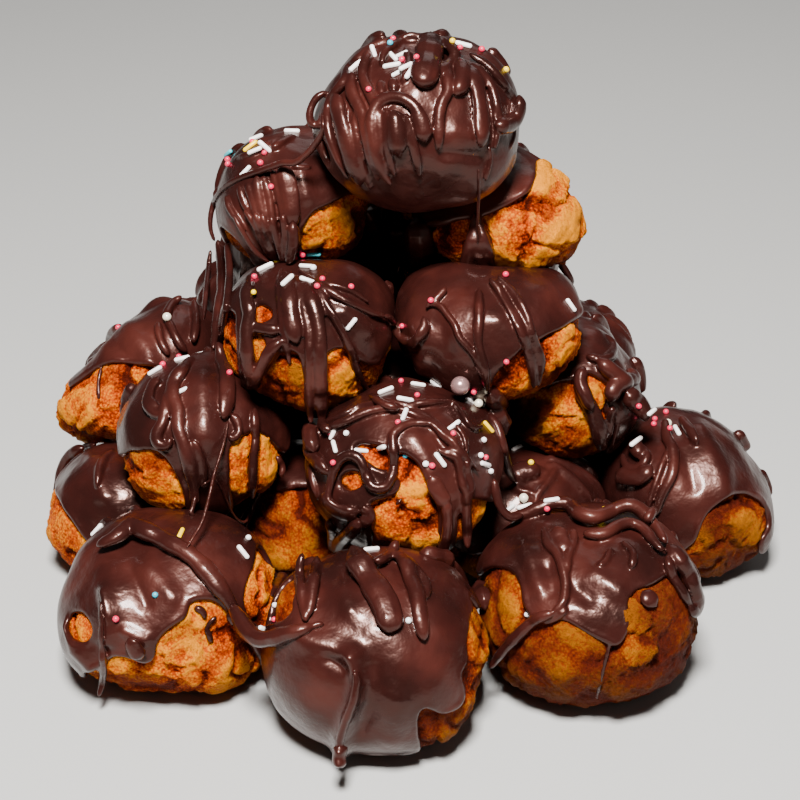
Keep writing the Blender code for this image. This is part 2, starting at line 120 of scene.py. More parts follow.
# Where the crust shows on the side in view: the pixels round each bare patch.
BARE_PX = {"v0": [
    [(322, 130), (331, 143), (336, 170), (330, 171), (323, 150)],
], "u2": [
    [(306, 213), (315, 206), (330, 200), (352, 192), (374, 205), (384, 237), (368, 268), (333, 268),
     (297, 262), (296, 232)],
    [(214, 224), (225, 224), (243, 236), (258, 260), (236, 262), (212, 244)],
], "u0": [
    [(533, 165), (553, 168), (572, 182), (592, 206), (592, 240), (577, 262), (550, 286), (517, 284),
     (494, 276), (492, 246), (485, 228), (476, 230), (464, 246), (458, 280), (425, 284), (424, 225),
     (445, 222), (460, 216), (487, 213), (501, 207), (520, 196), (531, 182)],
], "t3": [
    [(216, 300), (226, 308), (244, 315), (240, 326), (244, 372), (247, 400), (225, 400), (212, 337)],
    [(256, 304), (273, 305), (277, 318), (270, 326), (252, 325)],
    [(252, 333), (266, 335), (271, 343), (262, 366), (253, 374)],
    [(283, 346), (300, 350), (307, 380), (309, 432), (262, 432), (248, 400), (268, 366)],
    [(319, 349), (337, 343), (353, 353), (367, 362), (380, 358), (386, 331), (396, 325), (404, 345),
     (404, 384), (384, 408), (346, 432), (322, 432)],
], "t2": [
    [(192, 304), (196, 285), (205, 268), (216, 255), (219, 275), (218, 300), (207, 314)],
], "t0": [
    [(490, 373), (517, 343), (533, 337), (563, 325), (577, 310), (596, 325), (594, 352), (576, 384),
     (562, 400), (536, 412), (512, 414), (484, 410)],
], "s0": [
    [(490, 400), (545, 385), (575, 378), (586, 369), (605, 380), (610, 388), (606, 402), (603, 414),
     (612, 412), (616, 425), (606, 442), (602, 470), (495, 472)],
], "s4": [
    [(40, 475), (40, 405), (78, 383), (100, 366), (120, 361), (143, 363), (159, 368), (169, 369),
     (165, 475)],
], "s5": [
    [(128, 451), (147, 447), (163, 449), (173, 453), (180, 470), (188, 492), (190, 525), (150, 522),
     (120, 500), (112, 477), (120, 461)],
    [(226, 440), (238, 434), (250, 426), (266, 436), (286, 456), (277, 458), (276, 470), (284, 480),
     (284, 496), (259, 506), (232, 510), (224, 492)],
], "s6": [
    [(367, 495), (388, 494), (400, 486), (425, 477), (437, 498), (441, 518), (440, 533), (435, 550),
     (425, 562), (400, 560), (372, 545), (370, 518)],
    [(350, 444), (370, 442), (390, 448), (392, 463), (384, 479), (368, 462), (352, 455)],
    [(344, 468), (360, 467), (370, 480), (365, 492), (352, 494), (339, 488)],
    [(396, 451), (407, 452), (427, 470), (424, 484), (404, 488), (393, 472)],
    [(330, 456), (341, 456), (335, 464)],
    [(456, 496), (470, 491), (484, 497), (494, 510), (500, 530), (494, 556), (472, 566), (444, 566),
     (452, 541)],
    [(496, 482), (503, 492), (512, 511), (503, 510), (495, 495)],
], "r4": [
    [(36, 484), (58, 477), (60, 493), (70, 511), (79, 521), (82, 535), (97, 541), (104, 590), (36, 590)],
    [(52, 474), (58, 452), (72, 436), (74, 446), (64, 462), (60, 476)],
], "r5": [
    [(252, 545), (268, 555), (292, 579), (294, 605), (278, 630), (257, 634), (242, 615), (237, 597),
     (248, 575)],
    [(186, 601), (212, 595), (229, 612), (239, 627), (258, 652), (266, 700), (80, 710), (82, 684),
     (86, 665), (108, 662), (114, 650), (132, 646), (142, 664), (151, 660), (160, 633), (184, 616)],
    [(70, 614), (86, 607), (101, 632), (90, 650), (72, 646)],
    [(107, 624), (118, 630), (117, 644), (107, 642)],
], "r6": [
    [(452, 577), (469, 608), (463, 618), (458, 632), (466, 650), (464, 660), (452, 674), (461, 685),
     (461, 699), (443, 710), (435, 707), (418, 697), (413, 713), (414, 732), (424, 764), (460, 750),
     (500, 700), (500, 640)],
    [(270, 628), (276, 596), (300, 574), (300, 618), (289, 626)],
], "r7": [
    [(462, 600), (490, 566), (505, 566), (521, 572), (528, 583), (527, 606), (538, 618), (553, 613),
     (573, 617), (593, 632), (609, 638), (619, 652), (624, 633), (629, 616), (622, 603), (631, 589),
     (651, 583), (666, 571), (692, 560), (720, 600), (720, 730), (470, 730)],
], "r0": [
    [(674, 548), (697, 538), (699, 515), (720, 494), (737, 490), (758, 496), (767, 515), (768, 526),
     (756, 540), (760, 565), (745, 590), (690, 595)],
]}

# Flakes of crust in view: height in millimetres, darkening from 0 to 1, mostly painted shadow where shade
# falls and partly browning, below 0 a painted lighter patch, and the pixels round each.
FLAKES_PX = {"u0": [
    (2.4, 0.0, (533, 166), (540, 165), (552, 172), (560, 182), (566, 187), (563, 195), (560, 204),
     (548, 201), (536, 200), (526, 198), (529, 184), (533, 175)),
    (1.1, 0.0, (488, 222), (500, 212), (506, 207), (520, 209), (533, 208), (534, 222), (531, 236),
     (520, 246), (516, 262), (508, 266), (492, 264), (491, 240)),
    (1.2, -0.2, (560, 205), (570, 197), (580, 206), (583, 222), (578, 238), (560, 243), (545, 243),
     (532, 240), (536, 226), (548, 222), (556, 216)),
    (0.9, 0.0, (527, 246), (545, 246), (560, 250), (548, 262), (524, 266), (524, 252)),
    (0.0, 0.4, (490, 266), (540, 266), (578, 240), (588, 246), (572, 268), (545, 282), (490, 280)),
    (-0.6, 0.35, (506, 207), (520, 196), (560, 204), (556, 216), (548, 222), (540, 212), (520, 209)),
], "u2": [
    (0.0, 0.4, (327, 215), (345, 200), (388, 210), (388, 266), (340, 266), (336, 235)),
    (0.8, 0.0, (306, 213), (320, 208), (330, 225), (337, 250), (298, 252), (302, 232)),
], "t0": [
    (1.0, -0.1, (534, 345), (560, 330), (572, 322), (582, 335), (586, 345), (578, 354), (565, 362),
     (548, 372), (540, 370), (536, 356)),
    (-0.4, 0.5, (543, 376), (565, 364), (582, 352), (578, 374), (560, 392), (536, 394)),
    (0.5, 0.2, (492, 376), (508, 352), (520, 350), (522, 376), (512, 388), (494, 388)),
], "s0": [
    (1.0, -0.2, (549, 414), (560, 402), (570, 389), (577, 402), (585, 418), (570, 415)),
    (0.0, 0.6, (495, 395), (548, 398), (555, 404), (541, 432), (520, 442), (495, 432)),
    (-0.4, 0.4, (541, 432), (585, 426), (596, 445), (582, 456), (545, 446)),
    (0.8, -0.1, (583, 388), (597, 384), (604, 398), (598, 418)),
], "s4": [
    (1.3, -0.2, (54, 420), (62, 402), (78, 390), (96, 384), (98, 404), (100, 418), (84, 429), (62, 441)),
    (1.0, -0.2, (100, 388), (112, 384), (121, 395), (118, 408), (105, 411), (98, 400)),
    (0.0, 0.3, (100, 366), (130, 362), (132, 385), (120, 395), (112, 384), (100, 386)),
    (0.6, 0.0, (64, 445), (86, 434), (106, 424), (100, 440), (70, 460)),
], "s5": [
    (0.5, 0.5, (124, 454), (150, 446), (172, 450), (182, 466), (177, 479), (167, 470), (150, 475),
     (140, 463), (128, 470)),
    (1.1, 0.0, (130, 478), (150, 473), (165, 470), (178, 485), (188, 502), (180, 512), (150, 513),
     (134, 500)),
    (0.8, 0.0, (224, 442), (246, 436), (248, 460), (247, 492), (236, 498), (228, 480)),
    (0.8, 0.0, (260, 436), (276, 446), (284, 458), (276, 466), (282, 480), (270, 492), (259, 494)),
    (-0.5, 0.5, (228, 493), (250, 493), (250, 508), (232, 510)),
], "t3": [
    (1.2, -0.1, (316, 372), (326, 356), (336, 352), (352, 370), (357, 392), (340, 395), (326, 393),
     (324, 380)),
    (0.0, 0.45, (262, 404), (260, 372), (280, 354), (302, 350), (308, 395), (308, 424), (280, 418)),
    (0.7, 0.1, (276, 374), (290, 362), (300, 360), (300, 392), (284, 392)),
    (-0.4, 0.4, (324, 396), (358, 396), (350, 414), (328, 418)),
    (0.9, -0.1, (384, 335), (393, 338), (400, 360), (400, 378), (386, 394), (370, 388), (364, 372),
     (380, 358)),
], "s6": [
    (1.3, -0.2, (408, 505), (420, 500), (432, 503), (437, 514), (428, 520), (415, 520), (407, 514)),
    (0.8, 0.0, (386, 480), (400, 474), (420, 482), (430, 492), (410, 501), (398, 506), (388, 498)),
    (0.9, 0.1, (370, 510), (394, 516), (400, 507), (410, 520), (412, 534), (398, 541), (374, 538)),
    (1.1, 0.0, (412, 538), (425, 531), (439, 528), (440, 545), (425, 550), (414, 548)),
    (-0.5, 0.5, (408, 521), (437, 519), (440, 528), (425, 531), (412, 536)),
    (0.0, 0.45, (372, 540), (400, 542), (400, 558), (374, 552)),
    (0.0, 0.4, (452, 538), (502, 538), (500, 562), (446, 564)),
], "r5": [
    (1.4, -0.3, (163, 650), (180, 640), (192, 639), (203, 648), (196, 662), (180, 668), (165, 661)),
    (0.9, 0.1, (190, 664), (205, 651), (220, 641), (236, 630), (246, 650), (250, 675), (240, 689),
     (200, 691), (184, 682), (178, 671)),
    (0.0, 0.4, (158, 628), (190, 618), (205, 640), (190, 638), (166, 645), (156, 642)),
    (1.2, -0.2, (105, 665), (115, 655), (130, 652), (141, 660), (138, 668), (120, 673), (106, 671)),
    (-0.6, 0.4, (84, 671), (110, 675), (160, 676), (180, 682), (176, 694), (130, 690), (88, 690)),
    (0.8, -0.3, (240, 596), (256, 562), (272, 570), (272, 600), (262, 622), (250, 616)),
], "r7": [
    (1.4, -0.1, (622, 600), (632, 596), (650, 612), (653, 622), (640, 632), (626, 630), (624, 616)),
    (1.1, -0.1, (621, 650), (632, 632), (650, 630), (656, 650), (645, 665), (630, 663)),
    (0.8, 0.0, (530, 640), (560, 622), (595, 630), (607, 650), (600, 690), (560, 703), (530, 692),
     (515, 665)),
    (0.9, -0.1, (478, 592), (500, 570), (527, 580), (528, 604), (515, 632), (500, 646), (484, 622)),
    (0.7, 0.0, (612, 660), (660, 664), (676, 650), (690, 640), (690, 670), (650, 692), (610, 696)),
], "r0": [
    (1.2, 0.0, (699, 513), (735, 498), (760, 506), (768, 518), (758, 540), (740, 546), (728, 536),
     (705, 546), (696, 530)),
    (-0.5, 0.3, (709, 528), (730, 522), (730, 536), (712, 536)),
    (0.7, 0.0, (680, 552), (702, 545), (728, 552), (722, 572), (698, 574)),
], "r6": [
    (1.0, -0.1, (460, 598), (471, 605), (486, 640), (488, 660), (474, 665), (466, 642), (458, 620)),
    (1.0, 0.0, (440, 712), (460, 700), (476, 690), (480, 708), (462, 732), (440, 746)),
]}


def inside(pixels, outline):
    """Which pixels lie inside an outline."""
    found = np.zeros(len(pixels), bool)
    x, y = pixels[:, 0], pixels[:, 1]
    for (x1, y1), (x2, y2) in zip(outline, outline[1:] + outline[:1]):
        crosses = (y1 > y) != (y2 > y)
        found ^= crosses & (x < (x2 - x1) * (y - y1) / ((y2 - y1) or 1e-9) + x1)
    return found


def points_of(mesh):
    """The vertices of a mesh as an array."""
    flat = np.empty(len(mesh.vertices) * 3)
    mesh.vertices.foreach_get("co", flat)
    return flat.reshape(-1, 3)


def normals_of(mesh):
    """The vertex normals of a mesh as an array."""
    flat = np.empty(len(mesh.vertices) * 3, np.float32)
    mesh.vertex_normals.foreach_get("vector", flat)
    return flat.reshape(-1, 3).astype(float)


def put_points(mesh, points):
    """Moves the vertices of a mesh to an array of points."""
    mesh.vertices.foreach_set("co", points.reshape(-1))
    mesh.update()


def pushed_out(points, normals, rise_mm):
    """Points moved along their normals, less and less towards the floor and never into it."""
    above_floor = np.clip((points[:, 2] - 0.5 * MM) / (3 * MM), 0, 1)
    moved = points + normals * (rise_mm * MM * above_floor)[:, None]
    moved[:, 2] = np.maximum(moved[:, 2], 0)
    return moved


def noise_at(points, size_mm, shift=0.0):
    """Smooth noise, about -1 to 1, with features of a size in millimetres."""
    scaled = points / (size_mm * MM) + shift
    return np.array([noise.noise(p) for p in map(Vector, scaled)])


# The wandering of edges starts from the clock if it has no seed, so one keeps every run the same.
WANDER_SEED = 7
noise.seed_set(WANDER_SEED)


def wander_at(points, size_mm):
    """How far an edge wanders at each point, across and down, with bends of a size in millimetres."""
    return np.array([noise.noise_vector(p / (size_mm * MM))[:2] for p in map(Vector, points)])


def cracks_at(points):
    """Where the rising dough tore open: 1 in the middle of a crack, 0 away from one, and only in places."""
    meander = np.abs(noise_at(points, CRACKS_MM[0]) + 0.25 * noise_at(points, 4.5, 7.0))
    torn = np.clip(noise_at(points, 24, 9.0) * 3.5 + 0.5, 0, 1)
    return np.clip(1 - meander * 6.5, 0, 1) * torn


def ledges_at(points):
    """Where crust lifted in flat layers: whole steps with short steep banks between them."""
    level = noise_at(points, LEDGES_MM[0], 3.0) * 3.0
    return np.floor(level) + np.clip((level - np.floor(level)) * 5 - 2, 0, 1)


def flakes_at(name, points, normals):
    """The flakes of one bun that are in view: how far each point is lifted, and how far painted
    shade and some browning darken it.
    """
    lift = np.zeros(len(points))
    flake_shade_and_browning = np.zeros(len(points))
    if name in FLAKES_PX:
        in_view = facing_eye(points, normals) > 0
        pixels = pixels_of(points)
        wander = wander_at(points, 2.5)
        for height, shade_and_browning, *outline in FLAKES_PX[name]:
            covered = sum(inside(pixels + wander * reach, outline) for reach in (1.0, 2.2, 3.4)) / 3
            lift += height * covered * in_view
            flake_shade_and_browning += shade_and_browning * covered * in_view
    return lift, flake_shade_and_browning


def coated_points(name, centre, points, normals):
    """Which points lie under chocolate: by the patches in view, and by the CAD cap elsewhere."""
    cap = BVHTree.FromObject(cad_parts["glaze_" + name], bpy.context.evaluated_depsgraph_get())
    coated = np.zeros(len(points), bool)
    for i, point in enumerate(map(Vector, points)):
        at = point + noise.noise_vector(point / (7 * MM)) * 2.2 * MM
        out = (at - centre).normalized()
        coated[i] = cap.ray_cast(at - out * 6 * MM, out, 14 * MM)[0] is not None
    if name in BARE_PX:
        wander = wander_at(points, 4)
        pixels = pixels_of(points) + wander * 1.6
        bare = np.zeros(len(points), bool)
        for outline in BARE_PX[name]:
            bare |= inside(pixels, outline)
        coated = np.where(facing_eye(points, normals) + wander[:, 0] * 0.06 > 0.12, ~bare, coated)
    return coated


def select_only(*objects):
    """Leaves just these objects selected, the first one active."""
    bpy.ops.object.select_all(action="DESELECT")
    for obj in objects:
        obj.select_set(True)
    bpy.context.view_layer.objects.active = objects[0]


def shape_with(obj, kind, **settings):
    """Adds a modifier to an object and applies it."""
    modifier = obj.modifiers.new(kind.lower(), kind)
    for key, value in settings.items():
        setattr(modifier, key, value)
    select_only(obj)
    bpy.ops.object.modifier_apply(modifier=modifier.name)


def merged_copy(node, name):
    """A copy of a CAD node's mesh with its loose triangles merged."""
    piece = bpy.data.objects.new(name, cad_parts[node].data.copy())
    bpy.context.scene.collection.objects.link(piece)
    piece.data.materials.clear()
    select_only(piece)
    bpy.ops.object.mode_set(mode="EDIT")
    bpy.ops.mesh.select_all(action="SELECT")
    bpy.ops.mesh.remove_doubles(threshold=0.02 * MM)
    bpy.ops.mesh.tris_convert_to_quads(face_threshold=0.7, shape_threshold=0.7)
    bpy.ops.object.mode_set(mode="OBJECT")
    return piece


def refine_bare(bun, coated):
    """Gives the bare crust of a bun, and the faces next to it, finer faces."""
    near_bare = ~coated
    for edge in bun.data.edges:
        ends = list(edge.vertices)
        if not coated[ends].all():
            near_bare[ends] = True
    select_only(bun)
    for face in bun.data.polygons:
        face.select = bool(near_bare[list(face.vertices)].any())
    bpy.ops.object.mode_set(mode="EDIT")
    bpy.ops.mesh.select_mode(type="FACE")
    bpy.ops.mesh.subdivide(number_cuts=1, smoothness=0.0)
    bpy.ops.object.mode_set(mode="OBJECT")


def linear(code):
    """Linear colour of an sRGB hex value."""
    parts = [int(code[i : i + 2], 16) / 255 for i in (1, 3, 5)]
    return [c / 12.92 if c <= 0.04045 else ((c + 0.055) / 1.055) ** 2.4 for c in parts] + [1.0]


def add_node(tree, kind, inputs=None, stops=(), **settings):
    """Adds one shader node with its settings, its plain values and links, and a ramp's stops."""
    node = tree.nodes.new(kind)
    for key, value in settings.items():
        setattr(node, key, value)
    for key, value in (inputs or {}).items():
        if isinstance(value, bpy.types.NodeSocket):
            tree.links.new(value, node.inputs[key])
        else:
            node.inputs[key].default_value = value
    for place, code in stops:
        node.color_ramp.elements.new(place).color = linear(code)
    if stops:
        node.color_ramp.elements.remove(node.color_ramp.elements[0])
        node.color_ramp.elements.remove(node.color_ramp.elements[-1])
    return node


def new_material(name, values):
    """A material with plain values on its surface: itself, its nodes, that surface, and the place socket."""
    material = bpy.data.materials.new(name)
    material.use_nodes = True
    tree = material.node_tree
    surface = tree.nodes["Principled BSDF"]
    for socket, value in values.items():
        surface.inputs[socket].default_value = value
    return material, tree, surface, add_node(tree, "ShaderNodeTexCoord").outputs["Object"]


# Baked choux: egg-rich dough browned in the oven. Matt, with a fine grain that breaks up its few shines.
# Its colour holds painted light and shade: pale gold on the swollen lobes, amber round them and painted
# shade in the creases and underneath, with some oven browning there too.
choux_crust, tree, surface, place = new_material(
    "baked_choux_crust",
    {"Roughness": 0.55, "IOR": 1.45, "Specular IOR Level": 0.08, "Specular Tint": linear("#FFC078")},
)
patches, mottle, grain = (
    add_node(
        tree,
        "ShaderNodeTexNoise",
        {"Vector": place, "Scale": 1 / (size_mm * MM), "Detail": detail, "Roughness": roughness},
    ).outputs["Fac"]
    for size_mm, detail, roughness in ((15.0, 4.0, 0.6), (3.5, 6.0, 0.75), (0.9, 5.0, 0.85))
)
pebbles = add_node(tree, "ShaderNodeTexVoronoi", {"Vector": place, "Scale": 1 / (0.75 * MM)}).outputs[0]
relief_light_and_shade = add_node(tree, "ShaderNodeAttribute", attribute_name="relief_light_and_shade").outputs["Fac"]
toast_and_shade = add_node(tree, "ShaderNodeAttribute", attribute_name="toast_and_shade").outputs["Fac"]
speckle = add_node(tree, "ShaderNodeMix", {0: 0.72, 2: mottle, 3: grain}).outputs[0]
tanned = add_node(tree, "ShaderNodeMix", {0: 0.5, 2: speckle, 3: patches}).outputs[0]
# Painted light and shade: the raised crust is made lighter, the low crust darker.
relief_lit_tone = add_node(tree, "ShaderNodeMix", {0: 0.35, 2: tanned, 3: relief_light_and_shade}).outputs[0]
tone = add_node(tree, "ShaderNodeMath", {0: pebbles, 1: -0.17, 2: relief_lit_tone}, operation="MULTIPLY_ADD")
baked = add_node(
    tree,
    "ShaderNodeValToRGB",
    {"Fac": tone.outputs[0]},
    stops=[(0.29, "#4E1004"), (0.34, "#942804"), (0.38, "#C24602"), (0.43, "#E26402"), (0.49, "#FC9802")],
).outputs["Color"]
# Darkens the crust towards the toast colour: painted shade, with some real browning.
browned_and_shaded = add_node(tree, "ShaderNodeMix", {0: toast_and_shade, 6: baked, 7: linear("#4C1810")}, data_type="RGBA")
tree.links.new(browned_and_shaded.outputs[2], surface.inputs["Base Color"])
bumps = add_node(tree, "ShaderNodeBump", {"Height": pebbles, "Strength": 0.8, "Distance": 0.5 * MM})
bumps.invert = True
for height, strength, depth_mm in ((grain, 1.0, 2.2), (mottle, 0.7, 2.4)):
    bumps = add_node(
        tree,
        "ShaderNodeBump",
        {"Height": height, "Strength": strength, "Distance": depth_mm * MM, "Normal": bumps.outputs[0]},
    )
tree.links.new(bumps.outputs[0], surface.inputs["Normal"])

buns = {}
centres = {}
smooth_shapes = {}
coats = {}
for name in sorted(node[6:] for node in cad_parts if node.startswith("choux_")):
    bun = merged_copy("choux_" + name, "baked_bun_" + name)
    low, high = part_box("choux_" + name)
    centres[name] = (low + high) / 2
    levels = 2 if name in DEEP_BUNS else 3
    shape_with(bun, "SUBSURF", levels=levels, render_levels=levels)
    points = points_of(bun.data)
    normals = normals_of(bun.data)
    swell = noise_at(points, LOBES_MM[0]) + 0.35 * noise_at(points, SMALL_LOBES_MM, 2.0)
    points = pushed_out(points, normals, PUFF_MM + LOBES_MM[1] * swell)
    put_points(bun.data, points)
    coats[name] = coated_points(name, centres[name], points, normals)
    smooth_shapes[name] = bun.data.copy()

    # The bare crust gets finer faces, which are then pushed into crags, ledges, grit and cracks.
    if name not in DEEP_BUNS:
        refine_bare(bun, coats[name])
    points = points_of(bun.data)
    normals = normals_of(bun.data)
    crag = noise_at(points, CRAGS_MM[0])
    split = cracks_at(points)
    seam = np.clip(1 - np.abs(crag) * 6, 0, 1)
    lift, flake_shade_and_browning = flakes_at(name, points, normals)
    rise = CRAGS_MM[1] * crag + LEDGES_MM[1] * ledges_at(points) + GRIT_MM[1] * noise_at(points, GRIT_MM[0])
    rise = rise - CRACKS_MM[1] * split - SEAM_MM * seam + lift
    points = pushed_out(points, normals, rise)
    put_points(bun.data, points)

    # The material reads how high each point stands, which paints the raised crust lighter and the low crust
    # darker as painted light and shade, and how dark the crust is made: painted shade with some oven
    # browning.
    height = np.clip(0.5 + 0.3 * (rise - 0.5 * lift), 0, 1)
    # Painted shade on the crust that faces down, with some oven browning there too.
    under = np.clip(-normals[:, 2] * 1.3 - 0.25 + 0.25 * crag, 0, 1)
    # Painted shade for the buns that lie in shadow, with some browning, uneven in patches.
    bun_shade_and_browning = SHADE_AND_BROWNING.get(name, 0.0) * (1 + 0.5 * noise_at(points, 12, 5.0))
    # The cracks are darkened in colour as well: painted shade in them.
    darkened = np.clip(bun_shade_and_browning + flake_shade_and_browning + 0.6 * split**2 + 0.6 * under, 0, 0.92)
    for label, values in (("relief_light_and_shade", height), ("toast_and_shade", darkened)):
        attribute = bun.data.attributes.new(label, "FLOAT", "POINT")
        attribute.data.foreach_set("value", values.astype(np.float32))
    bun.data.materials.append(choux_crust)
    bun.data.shade_smooth()
    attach(bun, "root")
    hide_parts("choux_" + name)
    buns[name] = bun

# ---- The chocolate caps --------------------------------------------------------------------------
# Each bun is dipped in melted dark chocolate, which sets as a smooth glossy coat with a thick rounded
# lip; more is then trailed over it from a spoon and sets as ropes, drips and ribbons.
COAT_MM = 1.6
SUNK_MM = 0.4
LIP_MM = 1.15
FLOW_MM = 0.34
FLOOR_GAP_MM = 0.4
# Ropes at least this thick, as half widths, end in a blunt bulb: poured in view, and on the far side.
BLUNT_MM = 2.9
FAR_BLUNT_MM = 1.6
FAR_ROPES_MM = (0.9, 1.2, 1.5, 2.0)
# How finely a coat is remade, in view and elsewhere, and the smallest patch of it that is kept.
FINE_MM = 0.42
COARSE_MM = 0.75
SCRAP_FACES = 40
STEP_PX = 2.5

